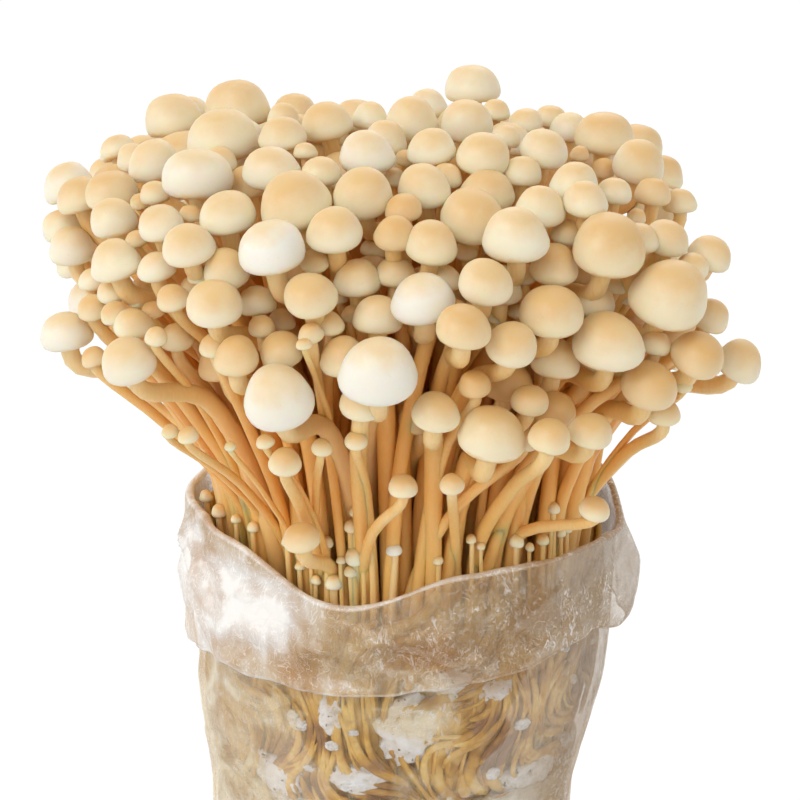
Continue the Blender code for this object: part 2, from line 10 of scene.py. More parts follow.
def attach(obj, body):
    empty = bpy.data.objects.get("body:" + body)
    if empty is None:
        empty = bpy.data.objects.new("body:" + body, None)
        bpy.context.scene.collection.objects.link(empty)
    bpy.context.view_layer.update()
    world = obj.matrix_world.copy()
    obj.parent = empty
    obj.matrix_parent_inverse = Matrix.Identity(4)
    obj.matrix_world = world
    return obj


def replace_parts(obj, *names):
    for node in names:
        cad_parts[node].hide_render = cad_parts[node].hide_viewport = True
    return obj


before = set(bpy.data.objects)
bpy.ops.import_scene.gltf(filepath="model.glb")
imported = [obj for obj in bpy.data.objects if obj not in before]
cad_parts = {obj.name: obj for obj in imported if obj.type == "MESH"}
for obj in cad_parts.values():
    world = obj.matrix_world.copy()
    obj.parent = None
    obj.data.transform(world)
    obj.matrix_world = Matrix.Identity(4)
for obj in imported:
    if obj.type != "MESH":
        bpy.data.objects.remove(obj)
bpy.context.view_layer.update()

# Sizes shared with the solids, in metres
GAP = 0.0003
FILM = 0.0008
FOOT_RADIUS = 0.0435
FOOT_ROUNDING = 0.004
FOOT_TUCK = 0.0024
BOTTOM_FILM = 0.0015
WAIST_RADIUS = 0.0470
WAIST_HEIGHT = 0.096
SHOULDER_RADIUS = 0.0523
SHOULDER_HEIGHT = 0.138
NECK_RADIUS = 0.0529
RIM_HEIGHT = 0.175
MOUTH_OFFSET = 0.0040
LEAN_START = 0.070
RIM_WAVE = (
    (-170, 0.0050), (-100, 0.0030), (-52, 0.0042), (-16, -0.0060),
    (14, 0.0018), (42, 0.0024), (80, -0.0020), (130, 0.0045),
)
CUFF_DROP = 0.029
HEM_WAVE = (
    (-140, -0.0020), (-85, -0.0045), (-50, 0.0005), (-8, 0.0008),
    (26, 0.0040), (50, 0.0070), (82, 0.0005), (150, 0.0010),
)
CUFF_SPACE = 0.0012
CUFF_FLARE = 0.0016
CUFF_OPENING = 0.85
CORNER_BEARING = 76
CORNER_SPREAD = 13
CORNER_REACH = 0.0040
CREASE = 0.0007
CREASE_WAVES = ((5, 0.6, 21.0), (8, 2.1, -34.0), (11, 4.0, 47.0))
CREASE_START = 0.03
SUBSTRATE_TOP = 0.112
PAD_RADIUS = 0.0058
PAD_HEIGHT = 0.0050
PAD_MARGIN = 0.0010
STEM_FOOT = SUBSTRATE_TOP + GAP + PAD_HEIGHT * 0.3
TUFT_SIZE = 3
FOOT_CROWDING = 0.42
BUNCH_WIDTH = 0.182
BUNCH_DEPTH = 0.166
BUNCH_HEIGHT = 0.106
STEM_DIAMETER = 0.0047
STEM_CLEARANCE = 0.0007
STEM_LINKS = 4
OUTLINE_MARGIN = 0.0075
SQUARENESS = 2.6
OUTWARD_BEND = 2.3
EARLY_RISE = 1.5
FOOT_SPLAY = 0.12
ROUNDS = 420
EASE = 0.30
SMOOTH_SHARE = 0.8
PULL_BACK = 0.04
COLUMNS = 24

# Viewpoint of the photograph, in its 800 by 800 pixels
PHOTO_SIZE = 800
PHOTO_CENTRE = (400, 400)
RIM_PIXEL = (406, 500)
VIEW_PIXELS = 2461
VIEW_ELEVATION = math.radians(21.5)
BUNCH_PIXELS = 722

# Caps of the solid tufts seen in the photograph: pixels across and down to the middle, pixels wide, and
# tone, from 0 for white through 1 for cream to 2 for tan, and amber above 2. The tone is partly each cap's
# own
# colour and partly painted shade: caps that lie in shade were given darker tones.
SEEN_CAPS = (
    (67, 183, 50, 0.5), (112, 182, 42, 1.9), (153, 161, 52, 0.8), (173, 117, 58, 1.3), (197, 174, 70, 0.4),
    (113, 218, 48, 1.0), (72, 246, 46, 0.7), (114, 260, 53, 1.1), (160, 223, 46, 0.8), (188, 244, 54, 1.1),
    (227, 213, 58, 1.0), (222, 137, 74, 1.1), (237, 106, 66, 1.8), (282, 134, 48, 1.4), (326, 121, 51, 1.5),
    (271, 167, 58, 0.8), (321, 171, 42, 1.2), (294, 200, 74, 1.6), (334, 229, 56, 1.2), (271, 247, 69, 0.0),
    (367, 152, 56, 0.4), (362, 192, 59, 1.4), (412, 119, 56, 1.2), (473, 85, 57, 0.9), (467, 121, 51, 1.1),
    (431, 147, 50, 1.0), (483, 154, 53, 1.2), (545, 148, 50, 0.9), (605, 134, 60, 1.8), (640, 162, 53, 1.5),
    (424, 186, 54, 1.0), (473, 214, 68, 1.6), (541, 206, 50, 1.1), (574, 182, 50, 1.0), (516, 234, 66, 0.9),
    (432, 242, 54, 1.6), (610, 245, 74, 1.9), (667, 237, 46, 1.4), (711, 253, 44, 1.4), (671, 292, 80, 1.5),
    (552, 310, 64, 1.9), (609, 340, 75, 1.3), (650, 384, 58, 2.3), (699, 353, 57, 2.3), (741, 360, 48, 1.3),
    (591, 430, 46, 1.8), (486, 281, 56, 1.2), (422, 297, 65, 0.0), (464, 326, 56, 2.2), (512, 343, 53, 1.6),
    (436, 411, 49, 1.6), (493, 433, 68, 1.6), (378, 369, 78, 0.1), (342, 355, 48, 1.8), (278, 395, 73, 0.2),
    (236, 355, 47, 2.2), (214, 303, 56, 1.2), (310, 294, 54, 1.6), (66, 331, 55, 0.4), (128, 360, 54, 0.7),
)
FAR_ROWS = ((0.42, 112, 248, 7), (0.64, 110, 250, 8), (0.86, 116, 244, 6))
FAR_CAP_RADII = (0.0062, 0.0088)
FAR_EDGES = (62, 688, 112)
FAR_STEP = 0.001
FAR_SCATTER = 0.2
SEED = 7

# Smaller caps between and behind those, read in the same way, their tones too partly painted shade. The last
# value is how many millimetres behind the outline of the bunch the cap starts.
SMALL_CAPS = (
    (142, 150, 40, 1.1, 9), (62, 226, 40, 1.0, 9), (156, 266, 40, 0.7, 3), (155, 193, 32, 1.2, 9),
    (220, 160, 34, 1.2, 9), (284, 117, 34, 1.4, 9), (248, 182, 40, 2.2, 9), (371, 117, 38, 1.0, 8),
    (386, 138, 44, 1.1, 9), (428, 104, 40, 0.7, 8), (496, 110, 30, 1.2, 8), (525, 122, 36, 1.1, 8),
    (551, 117, 34, 1.1, 8), (506, 137, 30, 1.2, 9), (569, 127, 40, 0.6, 4), (653, 192, 38, 2.2, 8),
    (446, 176, 34, 1.5, 8), (487, 190, 56, 1.6, 10), (522, 172, 40, 1.1, 3), (586, 199, 46, 1.2, 4),
    (614, 191, 38, 1.2, 3), (403, 208, 38, 2.3, 8), (395, 232, 42, 2.4, 9), (640, 238, 40, 1.5, 8),
    (555, 264, 50, 2.0, 10), (566, 232, 32, 1.6, 8), (692, 266, 34, 1.3, 8), (710, 315, 40, 1.6, 9),
    (594, 300, 46, 1.7, 10), (556, 358, 50, 1.8, 10), (664, 412, 34, 2.0, 2), (500, 288, 44, 1.5, 9),
    (442, 278, 38, 1.4, 9), (475, 384, 32, 2.6, 9), (530, 400, 38, 2.0, 2), (525, 438, 32, 1.6, 8),
    (550, 436, 42, 2.0, 2), (362, 402, 46, 1.5, 9), (281, 349, 44, 1.7, 4), (304, 344, 16, 2.0, 4),
    (214, 345, 30, 1.7, 8), (226, 268, 48, 1.4, 9), (257, 301, 38, 1.3, 7), (357, 278, 48, 1.4, 4),
    (396, 272, 42, 1.9, 5), (378, 315, 50, 1.4, 4), (133, 323, 40, 1.4, 3), (114, 313, 28, 1.4, 7),
    (93, 357, 26, 2.2, 7), (93, 280, 30, 1.1, 5), (112, 291, 32, 1.2, 5), (683, 384, 20, 1.8, 8),
    (170, 431, 18, 1.8, 0), (188, 435, 22, 1.8, 0), (285, 461, 33, 1.6, 4), (265, 441, 19, 1.5, 4),
    (322, 447, 21, 1.7, 4), (356, 440, 24, 1.6, 4), (403, 486, 29, 1.7, 6), (452, 483, 25, 1.8, 6),
    (595, 508, 31, 1.5, 4), (301, 537, 38, 2.1, 8), (230, 446, 12, 1.6, 4),
)

# Pins at the rim: pixels across and down, pixels wide, and tone
PINS = (
    (355, 556, 19, 1.0), (351, 571, 13, 1.6), (334, 582, 17, 1.0), (316, 580, 10, 1.4), (327, 542, 12, 1.6),
    (352, 526, 15, 1.9), (356, 511, 12, 1.8), (370, 527, 14, 0.8), (394, 549, 15, 0.0), (206, 496, 13, 1.3),
    (219, 511, 15, 1.5), (253, 527, 11, 1.6), (554, 508, 12, 1.3), (517, 541, 14, 1.2), (543, 540, 12, 1.7),
    (567, 528, 11, 1.5), (438, 560, 10, 1.9), (471, 539, 10, 1.9), (236, 519, 10, 1.5), (288, 541, 12, 1.7),
    (561, 533, 9, 1.4), (530, 547, 9, 1.6), (552, 524, 9, 1.8), (197, 505, 9, 1.4), (209, 519, 8, 1.7),
    (341, 560, 9, 1.3), (363, 545, 9, 1.7), (300, 566, 10, 1.8), (311, 560, 8, 1.6), (481, 546, 8, 1.7),
)
# How much taller their caps are, how far from the bag's middle they stand, and where their stems start
PIN_STRETCH = 0.22
PIN_REACH = 0.0492
PIN_FOOT = 0.122

# The part of the photograph that more small caps fill, the step between the places tried, and the room that
# a place needs
FILL_OUTLINE = (
    (56, 190), (100, 165), (150, 130), (230, 100), (330, 114), (440, 112), (540, 124), (612, 124),
    (662, 165), (692, 225), (706, 290), (700, 350), (640, 380), (560, 360), (520, 340), (430, 320),
    (360, 320), (300, 340), (220, 350), (150, 340), (105, 330), (78, 290), (50, 235),
)
FILL_TOP = 95
FILL_FOOT = 380
FILL_STEP = 12
FILL_LEAST_ROOM = 1.5
SMALL_ROUNDS = 220
FOOT_SPOTS = 2600
LOOK_AGAIN = 8
NEAR_MARGIN = 0.0004
SOFTER_BENDS = 2
PIN_ROOM = 0.0012

# More small caps on the far side, in rows as above, and deep in the bunch
FAR_SMALL_ROWS = ((0.30, 112, 248, 8), (0.53, 106, 254, 9), (0.76, 104, 256, 8), (0.97, 120, 240, 5))
FAR_SMALL_RADII = (0.0042, 0.0074)
TOP_COUNT = 40
TOP_TRIES = 24
DEEP_COUNT = 34
DEEP_RADII = (0.0040, 0.0064)
DEEP_REACH = (0.025, 0.062)
DEEP_SHAPE = (1.15, 1, 0.72)


# Bag surfaces, as in the solids

def smooth_step(value):
    value = min(max(value, 0.0), 1.0)
    return value * value * (3 - 2 * value)


def body_profile(height):
    """Outer radius of the film body at a height, before its creases."""
    if height < FOOT_ROUNDING:
        drop = 1 - height / FOOT_ROUNDING
        return FOOT_RADIUS - FOOT_TUCK * (1 - math.sqrt(max(0.0, 1 - drop * drop)))
    stations = (
        (FOOT_ROUNDING, FOOT_RADIUS),
        (WAIST_HEIGHT, WAIST_RADIUS),
        (SHOULDER_HEIGHT, SHOULDER_RADIUS),
        (RIM_HEIGHT, NECK_RADIUS),
    )
    for (low, low_radius), (high, high_radius) in zip(stations, stations[1:]):
        if height <= high:
            share = smooth_step((height - low) / (high - low))
            return low_radius + (high_radius - low_radius) * share
    return NECK_RADIUS


def crease(bearing, height):
    """How far the creases push the film out, fading towards the flat bottom."""
    waves = sum(math.sin(count * bearing + phase + rise * height) for count, phase, rise in CREASE_WAVES)
    return CREASE * waves / 2 * smooth_step(height / CREASE_START)


def body_radius(bearing, height):
    return body_profile(height) + crease(bearing, height)


@functools.cache
def wave_at(wave, bearing):
    """Value at a bearing in radians of a wave given at a few bearings round the bag."""
    first = wave[0][0]
    degrees = (math.degrees(bearing) - first) % 360 + first
    for (low, low_value), (high, high_value) in zip(wave, (*wave[1:], (first + 360, wave[0][1]))):
        if degrees <= high:
            return low_value + (high_value - low_value) * smooth_step((degrees - low) / (high - low))
    return wave[0][1]


def rim_height(bearing):
    return RIM_HEIGHT + wave_at(RIM_WAVE, bearing)


def hem_height(bearing):
    return RIM_HEIGHT - CUFF_DROP + wave_at(HEM_WAVE, bearing)


def lean(height):
    """How far to the +X side of the foot the middle of the bag is at a height."""
    return MOUTH_OFFSET * smooth_step((height - LEAN_START) / (RIM_HEIGHT - LEAN_START))


def corner(bearing):
    """Share of the cuff's pointed corner at a bearing."""
    away = (math.degrees(bearing) - CORNER_BEARING + 180) % 360 - 180
    return max(0.0, 1 - abs(away) / CORNER_SPREAD)


def bearing_point(bearing, radius, height):
    """A point round the bag's middle. Bearing 0 is the front, -Y, and +X is at a quarter turn."""
    return Vector((lean(height) + radius * math.sin(bearing), -radius * math.cos(bearing), height))


# Where the mushrooms stand, as in the solids

def sight_line(across, down):
    """Start and direction of the line of sight through a pixel of the photograph."""
    pixel = BUNCH_WIDTH / BUNCH_PIXELS
    distance = VIEW_PIXELS * pixel
    eye = np.array((
        MOUTH_OFFSET + (PHOTO_CENTRE[0] - RIM_PIXEL[0]) * pixel,
        -distance * math.cos(VIEW_ELEVATION),
        RIM_HEIGHT + distance * math.sin(VIEW_ELEVATION),
    ))
    pitch = VIEW_ELEVATION - math.atan((RIM_PIXEL[1] - PHOTO_CENTRE[1]) / VIEW_PIXELS)
    forward = np.array((0, math.cos(pitch), -math.sin(pitch)))
    upward = np.array((0, math.sin(pitch), math.cos(pitch)))
    right = np.array((1.0, 0, 0))
    way = (
        forward * VIEW_PIXELS
        + right * (across - PHOTO_CENTRE[0])
        - upward * (down - PHOTO_CENTRE[1])
    )
    return eye, way / np.linalg.norm(way)


def photo_pixel(place):
    """Pixel of the photograph at which a point lies, and pixels to a metre there."""
    eye, forward = sight_line(*PHOTO_CENTRE)
    right = np.array((1.0, 0, 0))
    upward = np.cross(right, forward)
    scale = VIEW_PIXELS / np.dot(place - eye, forward)
    across = PHOTO_CENTRE[0] + np.dot(place - eye, right) * scale
    return across, PHOTO_CENTRE[1] - np.dot(place - eye, upward) * scale, scale


def behind_front(place, radius):
    """The point moved down and towards the middle until the cap lies within FAR_EDGES."""
    left, right, top = FAR_EDGES
    middle = np.array((MOUTH_OFFSET, 0, RIM_HEIGHT + BUNCH_HEIGHT / 2))
    for _ in range(math.ceil(BUNCH_HEIGHT / FAR_STEP)):
        across, down, scale = photo_pixel(place)
        if down - radius * scale < top:
            place = place - (0, 0, FAR_STEP)
        elif across - radius * scale < left or across + radius * scale > right:
            place = place + (math.copysign(FAR_STEP, middle[0] - place[0]), 0, 0)
        else:
            break
    return place


def bunch_share(places):
    """1 on the rounded block that the caps' middles lie on, less inside it."""
    half = np.array((BUNCH_WIDTH / 2 - OUTLINE_MARGIN, BUNCH_DEPTH / 2 - OUTLINE_MARGIN, BUNCH_HEIGHT / 2))
    middle = np.array((MOUTH_OFFSET, 0, RIM_HEIGHT + BUNCH_HEIGHT / 2 - OUTLINE_MARGIN))
    return (np.abs((places - middle) / half) ** SQUARENESS).sum(axis=-1)


def seen_place(across, down):
    """Where the line of sight first meets the bunch, or comes nearest to it."""
    eye, way = sight_line(across, down)
    middle = np.dot(np.array((MOUTH_OFFSET, 0, RIM_HEIGHT + BUNCH_HEIGHT / 2)) - eye, way)
    steps = np.linspace(middle - BUNCH_WIDTH, middle + BUNCH_WIDTH, 400)
    shares = bunch_share(eye + steps[:, None] * way)
    inside = np.flatnonzero(shares <= 1)
    step = steps[inside[0]] if len(inside) else steps[np.argmin(shares)]
    return eye + step * way


def far_places(rng, rows, radii):
    """Middles and radii of the caps on the side that the photograph doesn't show."""
    for row, (share, start, end, count) in enumerate(rows):
        for step in range(count):
            scatter = rng.uniform(-FAR_SCATTER, FAR_SCATTER)
            bearing = math.radians(start + (end - start) * (step + scatter) / (count - 1))
            height = RIM_HEIGHT + BUNCH_HEIGHT * (share + rng.uniform(-FAR_SCATTER, FAR_SCATTER) / 6)
            reaches = np.linspace(OUTLINE_MARGIN, BUNCH_WIDTH / 2, 200)
            line = np.array([bearing_point(bearing, reach, height) for reach in reaches])
            inside = np.flatnonzero(bunch_share(line) <= 1)
            reach = inside[-1] if len(inside) else 0
            radius = rng.uniform(*radii)
            yield behind_front(line[reach], radius), radius


def spiral_places(field, count, last):
    """Places spread evenly over the round top of the substrate, as on a sunflower's spiral."""
    number = np.arange(count)
    turn = number * (math.pi * (3 - math.sqrt(5)))
    reach = field * np.sqrt((number + 0.5) / last)
    return np.stack((reach * np.cos(turn), reach * np.sin(turn)), axis=1) + (lean(SUBSTRATE_TOP), 0)


def substrate_field(margin):
    """Reach of the substrate's top from its middle, less a margin."""
    return body_profile(SUBSTRATE_TOP) - CREASE * 1.5 - FILM - GAP - margin


def pad_centres(count):
    """Feet of the tufts, spread evenly over the top of the substrate."""
    return spiral_places(substrate_field(PAD_RADIUS + PAD_MARGIN), count, count - 0.5)


def ideal_feet(caps, reach_limit):
    """Feet that spread from the middle outwards in the order in which the caps lean."""
    flat = caps[:, :2] - (MOUTH_OFFSET, 0)
    middle = np.array((lean(SUBSTRATE_TOP), 0))
    tilt = np.arctan2(np.linalg.norm(flat, axis=1), caps[:, 2] - SUBSTRATE_TOP)
    order = np.argsort(np.argsort(tilt))
    reach = reach_limit * np.sqrt((order + 0.5) / len(caps))
    return middle + flat / np.linalg.norm(flat, axis=1)[:, None] * reach[:, None]


def share_out(caps, pads):
    """Gives each mushroom a pad, so that mushrooms spread from the middle outwards without crossing."""
    middle = np.array((lean(SUBSTRATE_TOP), 0))
    ideal = ideal_feet(caps, np.linalg.norm(pads - middle, axis=1).max())
    seats = np.repeat(np.arange(len(pads)), TUFT_SIZE)[: len(caps)]
    cost = ((ideal[:, None] - pads[seats][None]) ** 2).sum(axis=-1)
    seat = np.full(len(caps), -1)
    for mushroom, place in sorted(np.ndindex(cost.shape), key=lambda pair: cost[pair]):
        if seat[mushroom] < 0 and place not in seat:
            seat[mushroom] = place
    for _ in range(1000):
        held = cost[:, seat]
        gain = np.diag(held)[:, None] + np.diag(held)[None] - held - held.T
        first, second = np.unravel_index(np.argmax(gain), gain.shape)
        if gain[first, second] < 1e-9:
            break
        seat[[first, second]] = seat[[second, first]]
    return seats[seat]


def foot_places(caps, pads, tuft):
    """Foot of each stem on its pad, on the side that its cap leans to."""
    feet = np.full((len(caps), 3), STEM_FOOT)
    ring = STEM_DIAMETER * FOOT_CROWDING
    for pad, centre in enumerate(pads):
        members = np.flatnonzero(tuft == pad)
        turns = np.arctan2(*(caps[members, :2] - centre).T[::-1])
        for step, mushroom in enumerate(members[np.argsort(turns)]):
            turn = turns.min() + math.tau * step / len(members)
            feet[mushroom, :2] = centre + ring * np.array((math.cos(turn), math.sin(turn)))
    return feet


# Keeping the mushrooms clear of each other, as in the solids

def nearest_shares(start_a, end_a, start_b, end_b):
    """How far along each of two stretches their nearest points lie, from 0 to 1."""
    a = end_a - start_a
    b = end_b - start_b
    between = start_a - start_b
    aa = (a * a).sum(axis=1)
    bb = (b * b).sum(axis=1)
    ab = (a * b).sum(axis=1)
    a_between = (a * between).sum(axis=1)
    b_between = (b * between).sum(axis=1)
    spread = np.maximum(aa * bb - ab * ab, 1e-12)
    along_a = np.clip((ab * b_between - a_between * bb) / spread, 0, 1)
    along_b = np.clip((ab * along_a + b_between) / bb, 0, 1)
    along_a = np.clip((ab * along_b - a_between) / aa, 0, 1)
    return along_a, along_b


def stretches(chains):
    """Starts and ends of the straight stretches of all stems, with the stem and the link of each."""
    count, links = chains.shape[0], chains.shape[1] - 1
    owner, link = np.divmod(np.arange(count * links), links)
    return chains[:, :-1].reshape(-1, 3), chains[:, 1:].reshape(-1, 3), owner, link


def push_stretches(moved, owner, link, share, push):
    """Shares a push out between the two ends of each stretch, by where on the stretch it works."""
    np.add.at(moved, (owner, link), push * (1 - share)[:, None])
    np.add.at(moved, (owner, link + 1), push * share[:, None])


def near_stems(chains, tuft, margin, fixed):
    """Pairs of stretches of different stems that may touch, leaving out pairs that both stay in place."""
    starts, ends, owner, link = stretches(chains)
    middles = (starts + ends) / 2
    halves = np.linalg.norm(ends - starts, axis=1) / 2
    apart = np.linalg.norm(middles[:, None] - middles[None], axis=-1)
    first, second = np.nonzero(np.triu(apart < halves[:, None] + halves[None] + margin, 1))
    foot_pair = (tuft[owner[first]] == tuft[owner[second]]) & (link[first] == 0) & (link[second] == 0)
    keep = (owner[first] != owner[second]) & ~foot_pair & (owner[second] >= fixed)
    return first[keep], second[keep]


def part_stems(chains, radii, pairs):
    """Moves stems apart where two come nearer than their thickness and clearance."""
    first, second = pairs
    starts, ends, owner, link = stretches(chains)
    along_a, along_b = nearest_shares(starts[first], ends[first], starts[second], ends[second])
    on_a = starts[first] + (ends[first] - starts[first]) * along_a[:, None]
    on_b = starts[second] + (ends[second] - starts[second]) * along_b[:, None]
    way = on_a - on_b
    distance = np.maximum(np.linalg.norm(way, axis=1), 1e-6)
    short = radii[owner[first]] + radii[owner[second]] + STEM_CLEARANCE - distance
    hit = short > 0
    push = way[hit] / distance[hit, None] * short[hit, None] * 0.5
    moved = np.zeros_like(chains)
    for index, share, sign in ((first[hit], along_a[hit], 1), (second[hit], along_b[hit], -1)):
        push_stretches(moved, owner[index], link[index], share, sign * push)
    chains += moved


def part_caps(chains, radii, cap_radii):
    """Moves caps apart from each other and from the stems of other mushrooms."""
    count, links = chains.shape[0], chains.shape[1] - 1
    caps = chains[:, -1]
    way = caps[:, None] - caps[None]
    distance = np.linalg.norm(way, axis=-1) + np.eye(count)
    short = np.triu(cap_radii[:, None] + cap_radii[None] + STEM_CLEARANCE - distance, 1)
    first, second = np.nonzero(short > 0)
    push = way[first, second] / distance[first, second, None] * short[first, second, None] * 0.5
    moved = np.zeros_like(chains)
    np.add.at(moved, (first, links), push)
    np.add.at(moved, (second, links), -push)

    starts, ends, owner, link = stretches(chains)
    ways = ends - starts
    along = ((caps[:, None] - starts[None]) * ways[None]).sum(axis=-1) / (ways * ways).sum(axis=-1)[None]
    along = np.clip(along, 0, 1)
    off = caps[:, None] - (starts[None] + ways[None] * along[..., None])
    distance = np.maximum(np.linalg.norm(off, axis=-1), 1e-6)
    short = cap_radii[:, None] + radii[owner][None] + STEM_CLEARANCE - distance
    own = np.arange(count)[:, None] == owner[None]
    short[own & (link >= links - 2)[None]] = 0
    cap, stretch = np.nonzero(short > 0)
    push = off[cap, stretch] / distance[cap, stretch, None] * short[cap, stretch, None] * 0.5
    np.add.at(moved, (cap, links), push)
    push_stretches(moved, owner[stretch], link[stretch], along[cap, stretch], -push)
    chains += moved


RIM_TABLE = np.array([rim_height(math.tau * i / 180 - math.pi) for i in range(180)])


def keep_in_bag(chains, radii):
    """Keeps what is below the fold inside the film, up to where each stem passes the fold."""
    links = chains.shape[1] - 1
    lean_heights = np.linspace(SUBSTRATE_TOP, RIM_HEIGHT, 20)
    lean_table = [lean(height) for height in lean_heights]

    def from_middle(place):
        flat = place[:, :2].copy()
        flat[:, 0] -= np.interp(place[:, 2], lean_heights, lean_table)
        return flat, np.linalg.norm(flat, axis=1)

    def fold_level(place):
        flat, _ = from_middle(place)
        bearing = np.arctan2(flat[:, 0], -flat[:, 1])
        column = np.round((bearing + math.pi) / math.tau * len(RIM_TABLE)).astype(int) % len(RIM_TABLE)
        return RIM_TABLE[column] + radii + STEM_CLEARANCE

    for link in range(links):
        low, high = chains[:, link], chains[:, link + 1]
        level = np.maximum(fold_level(low), fold_level(high))
        passing = np.clip((level - low[:, 2]) / np.maximum(high[:, 2] - low[:, 2], GAP), 0, 1)
        for portion in (0.25, 0.5, 0.75, 1.0):
            share = (passing * portion)[:, None]
            place = low + (high - low) * share
            flat, reach = from_middle(place)
            width = np.interp(place[:, 2], (SUBSTRATE_TOP, SHOULDER_HEIGHT, RIM_HEIGHT),
                              (body_profile(SUBSTRATE_TOP), SHOULDER_RADIUS, NECK_RADIUS))
            limit = (width - CREASE * 1.5 - FILM) * math.cos(math.pi / COLUMNS) - radii - STEM_CLEARANCE
            over = np.where(place[:, 2] <= level + GAP, np.maximum(reach - limit, 0), 0)
            push = flat / np.maximum(reach, GAP)[:, None] * over[:, None]
            chains[:, link, :2] -= push * (1 - share)
            chains[:, link + 1, :2] -= push * share


def settle(chains, radii, cap_radii, tuft, lines, fixed=0, rounds=ROUNDS):
    """Eases the stems into smooth curves that clear each other, with each seen cap on its line of sight.

    The first chains, as many as fixed says, stay where they are."""
    eye, ways, seen = lines
    feet = chains[:, 0].copy()
    wanted = chains[:, -1].copy()
    held = chains[:fixed].copy()
    arch = chains[:, 1:-1] - (chains[:, :-2] + chains[:, 2:]) / 2
    look_again = LOOK_AGAIN if fixed else 1
    for turn in range(rounds):
        ease = EASE * max(0.0, 1 - turn / (rounds * SMOOTH_SHARE))
        middle = (chains[:, :-2] + chains[:, 2:]) / 2
        chains[:, 1:-1] += (middle + arch - chains[:, 1:-1]) * ease
        rise = np.linalg.norm(chains[:, 1] - feet, axis=1)
        upright = feet + np.stack((feet[:, 0] * FOOT_SPLAY, feet[:, 1] * FOOT_SPLAY, rise), axis=1)
        chains[:, 1] += (upright - chains[:, 1]) * ease / 2
        if turn % look_again == 0:
            pairs = near_stems(chains, tuft, STEM_DIAMETER * 1.5 + NEAR_MARGIN * (look_again - 1), fixed)
        part_stems(chains, radii, pairs)
        part_caps(chains, radii, cap_radii)
        keep_in_bag(chains, radii)
        chains[:, 0] = feet
        caps = chains[:, -1]
        caps += (wanted - caps) * PULL_BACK * ease
        on_line = eye + ways * ((caps - eye) * ways).sum(axis=1)[:, None]
        chains[:, -1] = np.where(seen[:, None], on_line, caps)
        chains[:fixed] = held
    return chains


def first_chains(feet, caps):
    shares = np.linspace(0, 1, STEM_LINKS + 1)[:, None]
    spread = np.hstack((shares ** OUTWARD_BEND, shares ** OUTWARD_BEND, 1 - (1 - shares) ** EARLY_RISE))
    return feet[:, None] + (caps - feet)[:, None] * spread


# Line of sight of a cap that isn't in the photograph
UNSEEN = np.zeros(3)


def cap_on_line(across, down, width, behind):
    """Place and radius of a small cap seen at a pixel, and its line of sight."""
    pixel = BUNCH_WIDTH / BUNCH_PIXELS
    eye, way = sight_line(across, down)
    place = seen_place(across, down) + way * behind * 0.001
    return place, width / 2 * pixel * np.linalg.norm(place - eye) / (VIEW_PIXELS * pixel), way


def solid_mushrooms(rng):
    """Chains, radii, tones and tufts of the mushrooms that are solids too."""
    pixel = BUNCH_WIDTH / BUNCH_PIXELS
    caps = []
    for across, down, width, tone in SEEN_CAPS:
        eye, way = sight_line(across, down)
        place = seen_place(across, down)
        nearness = np.linalg.norm(place - eye) / (VIEW_PIXELS * pixel)
        caps.append((place, width / 2 * pixel * nearness, way, tone))
    tone_rng = random.Random(SEED + 1)
    for place, radius in far_places(rng, FAR_ROWS, FAR_CAP_RADII):
        caps.append((place, radius, UNSEEN, tone_rng.choice((0.4, 0.9, 1.2, 1.5, 1.8))))
    caps, cap_radii, ways, tones = (np.array(column) for column in zip(*caps))
    seen = np.arange(len(caps)) < len(SEEN_CAPS)
    radii = np.full(len(caps), STEM_DIAMETER / 2)
    pads = pad_centres(math.ceil(len(caps) / TUFT_SIZE))
    tuft = share_out(caps, pads)
    lines = (sight_line(*PHOTO_CENTRE)[0], ways, seen)
    chains = settle(first_chains(foot_places(caps, pads, tuft), caps), radii, cap_radii, tuft, lines)
    return chains, radii, cap_radii, tones, tuft, pads


def free_feet(caps, radii, taken, taken_radii):
    """A foot for each small mushroom on the nearest free place of the substrate's top."""
    field = substrate_field(STEM_DIAMETER / 2)
    wanted = ideal_feet(caps, field)
    grid = spiral_places(field, FOOT_SPOTS, FOOT_SPOTS)
    room = np.min(np.linalg.norm(grid[:, None] - taken[None], axis=-1) - taken_radii[None], axis=1)
    feet = np.full((len(caps), 3), STEM_FOOT)
    for mushroom in np.argsort(-radii, kind="stable"):
        far = np.linalg.norm(grid - wanted[mushroom], axis=1)
        tight = np.maximum(radii[mushroom] + STEM_CLEARANCE - room, 0)
        spot = np.argmin(far + tight * 40)
        feet[mushroom, :2] = grid[spot]
        room = np.minimum(room, np.linalg.norm(grid - grid[spot], axis=1) - radii[mushroom])
    return feet


def inside_outline(across, down):
    """Whether a pixel lies in the part of the bunch that small caps fill."""
    inside = False
    corners = (*FILL_OUTLINE, FILL_OUTLINE[0])
    for (x0, y0), (x1, y1) in zip(corners, corners[1:]):
        if (y0 > down) != (y1 > down) and across < x0 + (x1 - x0) * (down - y0) / (y1 - y0):
            inside = not inside
    return inside


def fill_places(rng, taken):
    """Small caps for the gaps left between the caps: pixels across and down, width, tone, and depth."""
    spots = []
    for row, down in enumerate(range(FILL_TOP, FILL_FOOT, FILL_STEP)):
        for across in range(FILL_STEP * (row % 2) // 2, PHOTO_SIZE, FILL_STEP):
            if inside_outline(across, down):
                spots.append((across + rng.uniform(-4, 4), down + rng.uniform(-4, 4)))
    spots = np.array(spots)
    taken = list(taken)
    while True:
        centres = np.array(taken)
        room = np.linalg.norm(spots[:, None] - centres[None, :, :2], axis=-1) - centres[None, :, 2]
        room = room.min(axis=1)
        best = int(np.argmax(room))
        if room[best] < FILL_LEAST_ROOM:
            return
        radius = min(max(room[best] + 8, 10), 17)
        taken.append((*spots[best], radius))
        behind = rng.uniform(9, 20)
        # The tone grows with the depth behind the outline: painted shade, darker and more amber further into
        # the bunch.
        yield (*spots[best], radius * 2, rng.uniform(0.9, 1.7) + behind * 0.04, behind)


